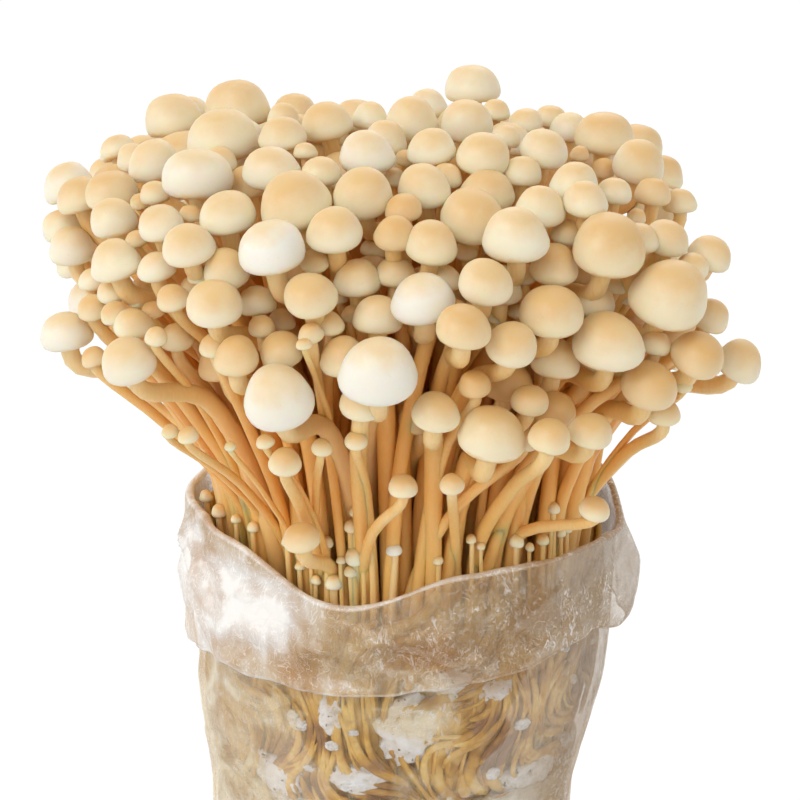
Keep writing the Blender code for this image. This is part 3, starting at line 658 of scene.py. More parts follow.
def top_place(rng, radius):
    """A place on the far half of the bunch's top, for a cap that the photograph's outline would hide."""
    half = np.array((BUNCH_WIDTH / 2, BUNCH_DEPTH / 2)) - OUTLINE_MARGIN
    base = RIM_HEIGHT + BUNCH_HEIGHT / 2 - OUTLINE_MARGIN
    while True:
        across, back = rng.uniform(-1, 1), rng.uniform(-0.15, 1)
        flat = abs(across) ** SQUARENESS + abs(back) ** SQUARENESS
        if flat < 0.9:
            level = (1 - flat) ** (1 / SQUARENESS) * BUNCH_HEIGHT / 2
            place = np.array((MOUTH_OFFSET + across * half[0], back * half[1], base + level))
            place = behind_front(place, radius)
            seen_across, seen_down, scale = photo_pixel(place)
            reach = radius * scale * 0.7
            if all(inside_outline(seen_across + side * reach, seen_down - reach) for side in (-1, 0, 1)):
                return place


def small_mushrooms(rng, chains, radii, cap_radii, tuft):
    """Chains, radii and tones of the small mushrooms, clear of the solid ones."""
    taken = [(across, down, width / 2) for across, down, width, *_ in (*SEEN_CAPS, *SMALL_CAPS)]
    caps = []
    for across, down, width, tone, behind in (*SMALL_CAPS, *fill_places(rng, taken)):
        caps.append((*cap_on_line(across, down, width, behind), tone))
    fixed, seen_count = len(chains), len(caps)
    for place, radius in far_places(rng, FAR_SMALL_ROWS, FAR_SMALL_RADII):
        caps.append((place, radius, UNSEEN, rng.choice((0.6, 1.1, 1.4, 1.7, 2.0))))
    for _ in range(TOP_COUNT):
        others = np.array([*chains[:, -1], *(cap[0] for cap in caps)])
        wide = np.array([*cap_radii, *(cap[1] for cap in caps)])
        radius = rng.uniform(*FAR_SMALL_RADII)
        spots = np.array([top_place(rng, radius) for _ in range(TOP_TRIES)])
        room = np.linalg.norm(spots[:, None] - others[None], axis=-1) - wide[None]
        caps.append((spots[np.argmax(room.min(axis=1))], radius, UNSEEN, rng.choice((0.5, 1.0, 1.4, 1.8))))
    middle = np.array((MOUTH_OFFSET, 0, RIM_HEIGHT + BUNCH_HEIGHT / 2 - OUTLINE_MARGIN))
    wanted = len(caps) + DEEP_COUNT
    while len(caps) < wanted:
        way = np.array([rng.gauss(0, 1), rng.gauss(0, 1), abs(rng.gauss(0, 0.8)) - 0.2])
        place = middle + way / np.linalg.norm(way) * rng.uniform(*DEEP_REACH) * DEEP_SHAPE
        if 0.12 < bunch_share(place) < 0.55:
            # Deep caps get amber tones: painted shade deep in the bunch.
            caps.append((place, rng.uniform(*DEEP_RADII), UNSEEN, rng.uniform(2.1, 2.9)))
    caps, caps_wide, ways, tones = (np.array(column) for column in zip(*caps))
    stems = np.clip(caps_wide * 0.42, 0.0007, STEM_DIAMETER / 2 * 0.92)
    feet = free_feet(caps, stems, chains[:, 0, :2], radii)
    number = np.arange(fixed + len(caps))
    lines = (
        sight_line(*PHOTO_CENTRE)[0],
        np.concatenate((np.zeros((fixed, 3)), ways)),
        (number >= fixed) & (number < fixed + seen_count),
    )
    small = settle(
        np.concatenate((chains, first_chains(feet, caps))),
        np.concatenate((radii, stems)),
        np.concatenate((cap_radii, caps_wide)),
        np.concatenate((tuft, -1 - np.arange(len(caps)))),
        lines, fixed, SMALL_ROUNDS,
    )[fixed:]
    for _ in range(SOFTER_BENDS):
        small[:, 1:-1] = small[:, 1:-1] * 0.5 + (small[:, :-2] + small[:, 2:]) * 0.25
        keep_in_bag(small, stems + PIN_ROOM)
    return small, stems, caps_wide, tones


def pin_mushrooms():
    """Chains, radii and tones of the pins, which stand against the film at the front of the mouth."""
    pixel = BUNCH_WIDTH / BUNCH_PIXELS
    for across, down, width, tone in PINS:
        eye, way = sight_line(across, down)
        steps = np.linspace(0.4, 0.8, 1600)
        line = eye + steps[:, None] * way
        reach = np.linalg.norm(line[:, :2] - (MOUTH_OFFSET, 0), axis=1)
        near = np.flatnonzero(reach <= PIN_REACH)
        place = line[near[0]] if len(near) else line[np.argmin(reach)]
        flat = place[:2] - (MOUTH_OFFSET, 0)
        bearing = math.atan2(flat[0], -flat[1])
        chain = []
        for share in np.linspace(0, 1, STEM_LINKS + 1):
            height = PIN_FOOT + (place[2] - PIN_FOOT) * share
            sway = 0.05 * math.sin(down + share * 2.5)
            reach = min(np.linalg.norm(flat), body_profile(height) - FILM - width * pixel)
            chain.append(bearing_point(bearing + sway * (1 - share), reach - 0.001 * (1 - share), height))
        chain[-1] = place
        radius = width / 2 * pixel
        yield np.array(chain), min(radius * 0.48, STEM_DIAMETER * 0.35), radius, tone


# Making meshes

def round_turns(columns):
    """Turns of points spread evenly round a ring."""
    return np.arange(columns) / columns * math.tau


def round_place(turn, size, height):
    """A place for noise, so that it closes round a ring."""
    return Vector((math.cos(turn) * size, math.sin(turn) * size, height))


def unit(ways):
    return ways / np.linalg.norm(ways, axis=-1, keepdims=True)


def directions_round(turns, sides, others):
    """Directions at each turn, round one point or each point of a path, from two sideways directions."""
    return np.cos(turns)[:, None] * sides[..., None, :] + np.sin(turns)[:, None] * others[..., None, :]


def spline(points, count):
    """Even points on a smooth curve through a few points."""
    padded = np.vstack((2 * points[0] - points[1], points, 2 * points[-1] - points[-2]))
    along = np.linspace(0, len(points) - 1, count)
    span = np.minimum(along.astype(int), len(points) - 2)
    u = (along - span)[:, None]
    p0, p1, p2, p3 = (padded[span + step] for step in range(4))
    bends = (2 * p0 - 5 * p1 + 4 * p2 - p3) * u ** 2 + (3 * p1 - p0 - 3 * p2 + p3) * u ** 3
    return 0.5 * (2 * p1 + (p2 - p0) * u + bends)


def frames_along(path, last_way):
    """Two sideways directions at each point of a path, turning as little as they can."""
    ways = unit(np.gradient(path, axis=0))
    ways[-1] = last_way
    sides = [np.cross(ways[0], (0.3, 0.9, 0.1))]
    for way in ways:
        sides.append(unit(sides[-1] - way * np.dot(sides[-1], way)))
    sides = np.array(sides[1:])
    return sides, np.cross(ways, sides)


class Piece:
    """Collects tubes of points into one mesh. keys name the values at each point that its materials read."""

    def __init__(self, *keys):
        self.points, self.faces, self.kinds = [], [], []
        self.values = {key: [] for key in keys}

    def add(self, rows, ends=(None, None), kind=0, **values):
        """Joins rows of points into a tube. Each end closes with one face, or with a fan to its point."""
        count, columns = np.shape(rows)[:2]
        start = len(self.points)
        self.points += [*np.reshape(rows, (-1, 3)), *(end for end in ends if end is not None)]
        faces = []
        for low in range(start, start + (count - 1) * columns, columns):
            for side in range(columns):
                after = (side + 1) % columns
                faces.append((low + side, low + after, low + columns + after, low + columns + side))
        centre = start + count * columns
        for row, end, turn in ((0, ends[0], -1), (count - 1, ends[1], 1)):
            ring = range(start + row * columns, start + (row + 1) * columns)
            if end is None:
                faces.append(tuple(ring)[::turn])
            else:
                faces += [(*pair[::turn], centre) for pair in zip(ring, (*ring[1:], ring[0]))]
                centre += 1
        self.faces += faces
        self.kinds += [kind] * len(faces)
        for key, parts in self.values.items():
            parts.append(np.broadcast_to(values.get(key, 0.0), len(self.points) - start))

    def make(self, name, materials):
        """A smooth-shaded object that rides on the only body."""
        mesh = bpy.data.meshes.new(name)
        mesh.from_pydata(np.array(self.points).tolist(), [], self.faces)
        for material in materials:
            mesh.materials.append(material)
        mesh.polygons.foreach_set("material_index", self.kinds)
        for key, parts in self.values.items():
            layer = mesh.attributes.new(key, "FLOAT", "POINT")
            layer.data.foreach_set("value", np.concatenate(parts).astype(np.float32))
        mesh.shade_smooth()
        mesh.update()
        obj = bpy.data.objects.new(name, mesh)
        bpy.context.scene.collection.objects.link(obj)
        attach(obj, "root")
        return obj


# Mushrooms

# Outline of a cap from under its rim to its top, in shares of its radius: reach and height
CAP_PROFILE = (
    (0.30, 0.14), (0.50, 0.05), (0.68, 0.015), (0.84, 0.05), (0.94, 0.15), (0.99, 0.29), (1.00, 0.44),
    (0.985, 0.62), (0.945, 0.81), (0.875, 1.00), (0.77, 1.17), (0.625, 1.31), (0.45, 1.41), (0.235, 1.47),
)
CAP_WIDEST = 0.44
CAP_HEIGHT = 1.49
CAP_CENTRE = 0.65
CAP_COLUMNS = 26
STEM_COLUMNS = 11
STEM_ROWS = 22
UPRIGHT = 0.66
# Ramp place for the cap's underside, which picks its darker colour as painted shade under the cap.
UNDER_RIM_SHADE = -0.2
FOOT_ROWS = 7
FOOT_COLUMNS = 18
SECTORS = 10


def add_mushroom(piece, chain, stem_radius, cap_radius, tone, seed, stretch=0.0):
    """A stem on its smooth path, and a button cap with its own slight unevenness."""
    rng = random.Random(int(seed))
    last = unit(chain[-1] - chain[-2])
    upright = (UPRIGHT + rng.uniform(-0.12, 0.15)) * (0.25 + 0.75 * smooth_step((last[2] - 0.1) / 0.55))
    axis = unit(last * (1 - upright) + (rng.uniform(-0.12, 0.12), rng.uniform(-0.12, 0.12), upright))
    squat = rng.uniform(0.80, 1.00) + stretch
    seat = chain[-1] - axis * cap_radius * CAP_CENTRE * squat
    bend = seat - (axis * 0.6 + last * 0.4) * cap_radius * 1.1
    path = spline(np.vstack((chain[:-1], bend, seat + axis * cap_radius * 0.25)), STEM_ROWS)
    sides, others = frames_along(path, axis)
    along = np.linspace(0, 1, STEM_ROWS)
    phases = [rng.uniform(0, math.tau) for _ in range(3)]
    girth = stem_radius * (1.06 - 0.16 * along + 0.05 * np.sin(along * 7 + phases[0]))
    girth[-3:] *= np.linspace(1.0, 1.22, 3)
    turns = round_turns(STEM_COLUMNS)
    out = 1 + 0.05 * np.cos(2 * turns + phases[1] + along[:, None] * 2)
    rows = path[:, None] + directions_round(turns, sides, others) * (girth[:, None] * out)[..., None]
    # How deep in the bunch each ring lies, for painted shade that turns the stem darker amber there.
    depth = np.clip((1.05 - bunch_share(path) * 1.25) * (1 - along ** 3), 0, 0.95)
    rise, depth = np.repeat((along, depth), STEM_COLUMNS, axis=1)
    piece.add(rows, kind=1, tone=tone, stem_rise=rise, depth=depth)

    turns = round_turns(CAP_COLUMNS)
    reach, level = np.array(CAP_PROFILE).T[..., None]
    over_rim = np.clip(level - CAP_WIDEST, 0, 1)
    peak = rng.uniform(-0.03, 0.34) * over_rim * (1.2 - level / CAP_HEIGHT)
    lobes = 1 + 0.028 * np.cos(2 * turns + phases[2]) + 0.016 * np.cos(3 * turns + phases[0])
    tilted = level * squat * (1 + 0.10 * np.cos(turns + phases[1]) * reach ** 2)
    ring = directions_round(turns, sides[-1], others[-1]) * ((reach - peak) * lobes)[..., None]
    rows = seat + (ring + tilted[..., None] * axis) * cap_radius
    under, top = CAP_PROFILE[0][1], CAP_HEIGHT * squat
    rise = np.append(np.repeat(np.clip(level / CAP_HEIGHT, 0, 1), CAP_COLUMNS), (0, 1))
    # The rows under the rim take the ramp's first, darker colour: painted shade under the cap.
    rise[: CAP_COLUMNS * 2] = UNDER_RIM_SHADE
    ends = (seat + axis * under * cap_radius, seat + axis * top * cap_radius)
    piece.add(rows, ends, tone=tone, cap_rise=rise)


def add_foot(piece, centre, seed):
    """The lumpy foot that the mushrooms of a tuft share."""
    rows = []
    for share in np.linspace(0, 1, FOOT_ROWS):
        reach = PAD_RADIUS * math.cos(share * math.pi / 2 * 0.92) ** 0.6
        height = SUBSTRATE_TOP + GAP + PAD_HEIGHT * math.sin(share * math.pi / 2)
        row = []
        for turn in round_turns(FOOT_COLUMNS):
            out = reach * (1 + 0.08 * noise.noise(round_place(turn, 2, share * 3 + seed)))
            row.append((centre[0] + math.cos(turn) * out, centre[1] + math.sin(turn) * out, height))
        rows.append(row)
    piece.add(rows, kind=1, tone=1.0)


def make_mushrooms(materials):
    """The tufts that are solids too, the pins, and the small mushrooms in groups by their side of the bag."""
    rng = random.Random(SEED)
    chains, radii, cap_radii, tones, tuft, pads = solid_mushrooms(rng)

    def bunch_of(name, members, foot=None):
        piece = Piece("tone", "cap_rise", "stem_rise", "depth")
        if foot is not None:
            add_foot(piece, *foot)
        for member in members:
            add_mushroom(piece, *member)
        return piece.make(name, materials)

    for pad, centre in enumerate(pads):
        found = np.flatnonzero(tuft == pad)
        members = zip(chains[found], radii[found], cap_radii[found], tones[found], 100 + found)
        bunch = bunch_of(f"enoki_tuft_{pad + 1:02d}", members, (centre, pad))
        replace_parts(bunch, f"mushroom_tuft_{pad + 1:02d}")
    bunch_of("pins", [(*pin, 3000 + number, PIN_STRETCH) for number, pin in enumerate(pin_mushrooms())])
    small, stems, caps_wide, small_tones = small_mushrooms(rng, chains, radii, cap_radii, tuft)
    bearings = np.arctan2(small[:, 2, 0] - MOUTH_OFFSET, -small[:, 2, 1])
    group = ((bearings + math.pi) / math.tau * SECTORS).astype(int) % SECTORS
    for sector in range(SECTORS):
        found = np.flatnonzero(group == sector)
        members = zip(small[found], stems[found], caps_wide[found], small_tones[found], 1000 + found)
        bunch_of(f"small_enoki_{sector + 1:02d}", members)


# Film bag

SKIN = 0.00025
FILM_COLUMNS = 300
BODY_ROWS = 110
CUFF_ROWS = 34
FOLD_LIFT = 0.0012
FOLD_TURNS = (0.2, 0.4, 0.6, 0.8)
MOST_OUT = 0.0007
MOST_IN = 0.0014

# Folds that cross the film: waves round the bag, waves to a metre of height, phase, and depth in metres
BODY_FOLDS = (
    (7, 9, 0.3, 0.00036), (11, -17, 1.9, 0.00026), (17, 31, 4.4, 0.00018), (26, -44, 2.6, 0.00012),
    (4, 23, 5.1, 0.00028), (3, -38, 3.3, 0.00022),
)
CUFF_FOLDS = (
    (5, 14, 1.1, 0.00110), (9, -33, 4.0, 0.00080), (15, 41, 2.2, 0.00050), (22, -72, 5.7, 0.00032),
    (7, 63, 0.4, 0.00055), (37, 90, 3.1, 0.00016), (13, 105, 2.9, 0.00020),
)

# Milky patches of the film: bearing in degrees, height, spread in degrees, spread in height, and strength
MILKY = (
    (-60, 0.128, 22, 0.022, 0.70), (-66, 0.163, 30, 0.016, 1.45), (-22, 0.149, 12, 0.004, 0.60),
    (2, 0.139, 13, 0.004, 0.50), (24, 0.147, 9, 0.004, 0.55), (-34, 0.165, 14, 0.009, 0.90),
    (120, 0.158, 14, 0.012, 0.35), (66, 0.106, 20, 0.024, 0.50),
    (165, 0.164, 26, 0.010, 0.60), (200, 0.130, 24, 0.014, 0.50), (250, 0.156, 26, 0.012, 0.60),
    (-20, 0.060, 50, 0.030, 0.30), (130, 0.070, 50, 0.035, 0.40), (230, 0.050, 50, 0.030, 0.40),
)
EDGE_MILK = 1.1
HEM_MILK = 0.8
MOST_MILK = 1.3

# Stained patches, in the same way
STAINED = (
    (36, 0.160, 20, 0.012, 0.75), (70, 0.150, 20, 0.022, 0.70), (4, 0.158, 11, 0.008, 0.80),
    (-30, 0.152, 8, 0.006, 0.40), (64, 0.118, 26, 0.026, 0.75), (150, 0.150, 24, 0.020, 0.50),
    (225, 0.146, 20, 0.014, 0.45), (100, 0.080, 40, 0.040, 0.35),
)


def crumple(bearing, height, folds):
    """Sharp folds of crumpled film: crossing triangle waves, bent out of line and uneven in depth."""
    place = round_place(bearing, 2.2, height * 34)
    bend = noise.noise(place * 0.8)
    total = 0.0
    for index, (around, up, phase, size) in enumerate(folds):
        turn = around * bearing / math.tau + up * height + phase + bend * (0.8 + 0.25 * index)
        total += size * (abs(turn % 1 * 2 - 1) * 2 - 1)
    return total * (0.35 + 1.3 * abs(noise.noise(place * 0.6 + Vector((3, 8, 2)))))


@functools.cache
def patch_strength(patches, bearing, height):
    """How strong the patches are together at a place on the film."""
    total = 0.0
    for middle, level, across, up, strength in patches:
        turn = (bearing - math.radians(middle) + math.pi) % math.tau - math.pi
        total += strength * math.exp(-(turn / math.radians(across)) ** 2 - ((height - level) / up) ** 2)
    return min(total, MOST_MILK)


def body_row(bearings, share):
    """Places on the film's body as bearing, radius and height, at a share of the way up to the fold."""
    for b in bearings:
        height = share ** 0.85 * (rim_height(b) - FOLD_LIFT)
        out = min(crumple(b, height, BODY_FOLDS), MOST_OUT) * smooth_step(height / CREASE_START)
        yield b, body_radius(b, height) + out, height


def cuff_row(bearings, share):
    """Places on the cuff in the same way, at a share of the way down from the fold to the hem."""
    for b in bearings:
        height = (rim_height(b) - FOLD_LIFT) * (1 - share) + hem_height(b) * share
        swell = (CUFF_FLARE + CORNER_REACH * corner(b)) * math.sin(math.pi * share * CUFF_OPENING)
        ripple = 0.0010 * noise.noise(round_place(b, 7, share * 1.3)) * share
        folds = max(crumple(b + 2.0, height, CUFF_FOLDS) * smooth_step(share * 4), -MOST_IN)
        sag = 0.0009 * noise.noise(round_place(b, 5, 3)) * share
        yield b, body_radius(b, height) + CUFF_SPACE + FILM - SKIN + swell + ripple + folds, height + sag


def make_bag(material):
    """One thin film: up the body, over the fold, down the cuff and back again on its other face."""
    bearings = round_turns(FILM_COLUMNS) - math.pi
    body = [list(body_row(bearings, share)) for share in np.linspace(0, 1, BODY_ROWS)]
    cuff = [list(cuff_row(bearings, share)) for share in np.linspace(0, 1, CUFF_ROWS)]
    rows, values = [], []

    def add_row(places, offset, cuffness, edge=0.0):
        row = []
        for b, radius, height in places:
            row.append(bearing_point(b, radius - offset, max(height, offset * 1.2)))
            milky = patch_strength(MILKY, b, height) + edge
            values.append((cuffness, milky, patch_strength(STAINED, b, height)))
        rows.append(row)

    def add_fold(turns, grow):
        for turn in turns:
            row = []
            for (b, low, height), (_, high, _) in zip(body[-1], cuff[0]):
                half = (high - low) / 2
                across = half - math.cos(math.pi * turn) * (half + grow)
                rise = math.sin(math.pi * turn) * (half * 0.9 + grow)
                row.append(bearing_point(b, low + across, height + rise))
            rows.append(row)
            values.extend([(0.6 + 0.4 * turn, EDGE_MILK, 0.0)] * len(row))

    def add_cuff(places, offset):
        for row in places:
            add_row(row, offset, 1.0, HEM_MILK if row is cuff[-1] else 0.0)

    for row in body:
        add_row(row, 0.0, 0.0)
    add_fold(FOLD_TURNS, 0.0)
    add_cuff(cuff, 0.0)
    add_cuff(reversed(cuff), -SKIN)
    add_fold(reversed(FOLD_TURNS), SKIN)
    for row in reversed(body):
        add_row(row, SKIN, 0.0)
    values += [(0.0, 0.0, 0.0)] * 2
    piece = Piece("cuff", "milky", "stained")
    cuffness, milky, stained = np.transpose(values)
    ends = (Vector((0, 0, 0)), Vector((0, 0, SKIN * 1.2)))
    piece.add(rows, ends, cuff=cuffness, milky=milky, stained=stained)
    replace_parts(piece.make("film_bag", [material]), "bag")


# Substrate, pressed stems and mycelium behind the film

BLOCK_COLUMNS = 160
BLOCK_ROWS = 90
BLOCK_TOP_ROWS = 14
BLOCK_INSET = FILM + GAP + 0.0004


def make_substrate(material):
    """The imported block, lumpy and hollowed where the film shows it, with a rough top."""
    low = BOTTOM_FILM + GAP
    bearings = round_turns(BLOCK_COLUMNS) - math.pi
    rows = []
    for height in np.linspace(low, SUBSTRATE_TOP, BLOCK_ROWS):
        row = []
        for b in bearings:
            place = round_place(b, 3.2, height * 70)
            lump = min(noise.fractal(place, 0.8, 2.0, 4) * 0.0007, 0.0004)
            hollow = min(0.0, noise.noise(place * 0.45) + 0.1) * 0.0030
            row.append(bearing_point(b, body_radius(b, height) - BLOCK_INSET + lump + hollow, height))
        rows.append(row)
    for share in np.arange(BLOCK_TOP_ROWS - 1, 0, -1) / BLOCK_TOP_ROWS:
        row = []
        for b in bearings:
            reach = (body_radius(b, SUBSTRATE_TOP) - BLOCK_INSET) * share
            pit = min(0.0, noise.noise(round_place(b, reach * 300, 5))) * 0.0015
            row.append(bearing_point(b, reach, SUBSTRATE_TOP + pit))
        rows.append(row)
    piece = Piece()
    piece.add(rows, (Vector((0, 0, low)), bearing_point(0, 0, SUBSTRATE_TOP)))
    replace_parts(piece.make("substrate_block", [material]), "substrate")


# Layers of stems pressed against the film: depth behind it, how many, their radii, how far they stray from
# the upright in degrees, lowest and highest start, and the length of one of their steps in metres
PRESSED_LAYERS = (
    (0.0078, 120, (0.0022, 0.0030), 16, 0.097, 0.120, 0.0065),
    (0.0048, 170, (0.0010, 0.0021), 60, 0.096, 0.138, 0.0050),
    (0.0026, 300, (0.0004, 0.0012), 85, 0.096, 0.142, 0.0038),
    (0.0030, 150, (0.0005, 0.0016), 75, 0.140, 0.158, 0.0030),
)
STRAND_STEPS = 9
STRAND_ROWS = 16
STRAND_COLUMNS = 7
STRAND_DRIFT = 14
STRAND_FLATNESS = 0.7
BELOW_RIM = 0.004


def surface_path(bearing, height, step, stray, inset, drift):
    """Points on the inside of the film, from a start, along a flow that curls like grown-in strands."""
    points = []
    for _ in range(STRAND_STEPS):
        if height > rim_height(bearing) - BELOW_RIM:
            break
        points.append(bearing_point(bearing, body_radius(bearing, height) - inset, height))
        flow = noise.noise(round_place(bearing, 2.3, height * 42))
        turn = math.radians(min(max(flow * 2.2, -1), 1) * stray + drift)
        height += step * math.cos(turn)
        bearing += step * math.sin(turn) / body_profile(height)
    return points


def add_strand(piece, path, radius, tone, seed):
    """A tube along a path, narrowing at both ends and pressed flatter towards the film."""
    curve = spline(np.array(path), STRAND_ROWS)
    along = np.linspace(0, 1, STRAND_ROWS)
    swell = 1 + 0.10 * np.sin(along * 9 + random.Random(seed).uniform(0, math.tau))
    girth = radius * swell * np.minimum(1, np.minimum(along, 1 - along) * 9 + 0.35)
    ring = directions_round(round_turns(STRAND_COLUMNS), *frames_along(curve, curve[-1] - curve[-2]))
    ring *= girth[:, None, None]
    outward = curve - np.array(bearing_point(0, 0, curve[:, 2].mean()))
    outward = unit(outward * (1, 1, 0))[:, None]
    ring -= outward * (ring * outward).sum(axis=-1, keepdims=True) * (1 - STRAND_FLATNESS)
    piece.add(curve[:, None] + ring, tone=tone)


def make_pressed_stems(material):
    """Stems bent and pressed flat between the film and the rest, all round the bag under its mouth."""
    rng = random.Random(SEED + 11)
    piece = Piece("tone")
    seed = 0
    for inset, count, thick, stray, low, high, step in PRESSED_LAYERS:
        for place in range(count):
            bearing = math.tau * (place + rng.uniform(-0.5, 0.5)) / count - math.pi
            drift = (-STRAND_DRIFT, STRAND_DRIFT)
            path = surface_path(bearing, rng.uniform(low, high), step, stray, inset, rng.uniform(*drift))
            if len(path) >= 4:
                # Darker at random, and darker towards +X: painted shade on the side away from the light.
                age_and_side_shade = min(max(rng.uniform(0.0, 2.0) + 0.5 * math.sin(bearing), 0), 2)
                add_strand(piece, path, rng.uniform(*thick), age_and_side_shade, seed)
            seed += 1
    piece.make("pressed_stems", [material])


# Mycelium lumps against the film: bearing in degrees, height, half width and half height
LUMPS = (
    (2, 0.1345, 0.0084, 0.0092), (-20, 0.1385, 0.0040, 0.0062), (13, 0.1475, 0.0060, 0.0036),
    (27, 0.1440, 0.0052, 0.0040), (-12, 0.1210, 0.0080, 0.0042), (47, 0.1150, 0.0100, 0.0050),
    (-40, 0.1160, 0.0090, 0.0060), (110, 0.1340, 0.0090, 0.0080), (165, 0.1250, 0.0100, 0.0090),
    (215, 0.1380, 0.0080, 0.0070), (262, 0.1180, 0.0100, 0.0080), (-78, 0.1220, 0.0090, 0.0110),
)
LUMP_ROWS = 12
LUMP_COLUMNS = 28
LUMP_SINK = 0.0042
FLECKS = 70
FLECK_SIZES = (0.0006, 0.0019)
FLECK_HEIGHTS = (0.100, 0.158)


def lump_row(lump, seed, tilt):
    """A row of points round a lump, from its edge at no tilt to its middle at a quarter turn."""
    degrees, height, half_width, half_height = lump
    for turn in round_turns(LUMP_COLUMNS):
        across, up = math.cos(turn) * math.cos(tilt), math.sin(turn) * math.cos(tilt)
        place = Vector((across * 2.2, up * 2.2, seed + tilt))
        ragged = 1 + 0.26 * noise.fractal(place * 1.3, 0.7, 2.0, 3)
        z = height + up * half_height * ragged
        b = math.radians(degrees) + across * half_width * ragged / body_profile(z)
        sink = min(LUMP_SINK, half_height * 0.9) * (1 - math.sin(tilt) ** 0.7)
        fine = min(0.0014 * noise.fractal(place * 2.5, 0.8, 2.0, 3) * math.cos(tilt * 0.7), 0)
        yield bearing_point(b, body_radius(b, z) - FILM - GAP - sink + fine, z)


def make_lumps(material):
    """Rounded lumps and small flecks of mycelium pressed flat against the inside of the film."""
    rng = random.Random(SEED + 5)
    flecks = []
    for _ in range(FLECKS):
        size = rng.uniform(*FLECK_SIZES)
        bearing, height = rng.uniform(-180, 180), rng.uniform(*FLECK_HEIGHTS)
        flecks.append((bearing, height, size * rng.uniform(0.8, 2.0), size))
    piece = Piece()
    for index, lump in enumerate((*LUMPS, *flecks)):
        tilts = math.pi / 2 * np.arange(LUMP_ROWS) / (LUMP_ROWS - 1)
        *rows, middle = (list(lump_row(lump, index * 5, tilt)) for tilt in tilts)
        piece.add(rows, (None, middle[0]))
    piece.make("mycelium_lumps", [material])


# Materials

class Nodes:
    """The nodes of a material or of the world, and short ways to add to them."""

    def __init__(self, owner):
        owner.use_nodes = True
        self.owner, self.tree = owner, owner.node_tree

    def feed(self, node, inputs):
        """Links each input to a socket, or sets its value. Colours may leave out their alpha."""
        for key, value in inputs.items():
            socket = node.inputs[key]
            if isinstance(value, bpy.types.NodeSocket):
                self.tree.links.new(value, socket)
            else:
                socket.default_value = (*value, 1) if socket.type == "RGBA" else value

    def add(self, kind, inputs={}, output=0, **settings):
        node = self.tree.nodes.new("ShaderNode" + kind)
        for key, value in settings.items():
            setattr(node, key, value)
        self.feed(node, inputs)
        return node.outputs[output]

    def calc(self, operation, *values):
        return self.add("Math", dict(enumerate(values)), operation=operation)

    def plus(self, *values):
        return functools.reduce(lambda total, value: self.calc("ADD", total, value), values)

    def times(self, first, second):
        return self.calc("MULTIPLY", first, second)

    def scale(self, value, low, high, to_low=0.0, to_high=1.0):
        ends = {"From Min": low, "From Max": high, "To Min": to_low, "To Max": to_high}
        return self.add("MapRange", {"Value": value, **ends})

    def blend(self, share, first, second):
        return self.add("Mix", {0: share, 6: first, 7: second}, 2, data_type="RGBA")

    def ramp(self, value, stops):
        colours = self.add("ValToRGB", {"Fac": value})
        elements = colours.node.color_ramp.elements
        while len(elements) < len(stops):
            elements.new(0.5)
        for element, (position, colour) in zip(elements, stops):
            element.position = position
            element.color = (*colour, 1)
        return colours

    def place(self, stretch=None):
        place = self.add("TexCoord", output="Object")
        return self.add("Mapping", {"Vector": place, "Scale": stretch}) if stretch else place

    def noise(self, scale, detail=3, roughness=0.55, distortion=0, stretch=None):
        return self.add("TexNoise", {
            "Vector": self.place(stretch), "Scale": scale, "Detail": detail, "Roughness": roughness,
            "Distortion": distortion,
        }, "Fac")

    def across(self, place):
        return self.add("SeparateXYZ", {"Vector": place}, "X")

    def attribute(self, name):
        return self.add("Attribute", output="Fac", attribute_name=name)

    def bump(self, height, strength, distance):
        return self.add("Bump", {"Height": height, "Strength": strength, "Distance": distance})

    def finish(self, colour, roughness, normal, scatter=(), **more):
        """Feeds the shader. scatter: weight, radius and scale of the light that spreads under the skin."""
        shader = self.tree.nodes["Principled BSDF"]
        under = zip(("Subsurface Weight", "Subsurface Radius", "Subsurface Scale"), scatter)
        inputs = {"Base Color": colour, "Roughness": roughness, "Normal": normal, **dict(under), **more}
        self.feed(shader, inputs)
        return shader.outputs[0]

    def surface(self, share, first, second):
        """Makes a mix of two shaders the surface."""
        mixed = self.add("MixShader", {0: share, 1: first, 2: second})
        self.feed(self.tree.nodes["Material Output"], {"Surface": mixed})


def skin_named(name):
    return Nodes(bpy.data.materials.new(name))


# Colours of a cap from under its rim to its top, for tones 0, 1 and 2; the darker colour under the rim is
# painted shade under the cap. Tone 3 is amber all over, painted shade for caps that lie in shade deep in the
# bunch.
CAP_COLOURS = (
    (
        (0.0, (0.90, 0.78, 0.56)), (0.13, (0.93, 0.90, 0.81)),
        (0.62, (0.93, 0.89, 0.79)), (0.97, (0.87, 0.69, 0.42)),
    ), (
        (0.0, (0.86, 0.64, 0.32)), (0.13, (0.93, 0.86, 0.68)),
        (0.48, (0.92, 0.84, 0.63)), (0.95, (0.84, 0.60, 0.29)),
    ), (
        (0.0, (0.80, 0.51, 0.20)), (0.13, (0.91, 0.79, 0.53)),
        (0.38, (0.90, 0.76, 0.49)), (0.90, (0.79, 0.51, 0.21)),
    ),
)
CAP_SHADE_AMBER = (0.78, 0.47, 0.17)
# Colours of a stem from its foot to its cap: the darker amber low down is partly the stem's own colour,
# partly painted shade.
STEM_COLOURS = (
    (0.0, (0.83, 0.50, 0.14)), (0.35, (0.86, 0.54, 0.18)),
    (0.72, (0.89, 0.61, 0.25)), (1.0, (0.91, 0.71, 0.39)),
)
PRESSED_COLOURS = (
    (0.0, (0.84, 0.60, 0.21)), (0.35, (0.72, 0.42, 0.08)),
    (0.7, (0.50, 0.24, 0.03)), (1.0, (0.24, 0.09, 0.02)),
)
FELT_COLOURS = ((0.30, (0.64, 0.59, 0.50)), (0.45, (0.87, 0.88, 0.90)), (0.7, (0.92, 0.94, 0.98)))
DUST_COLOURS = ((0.3, (0.20, 0.11, 0.05)), (0.5, (0.48, 0.32, 0.16)), (0.72, (0.72, 0.55, 0.33)))


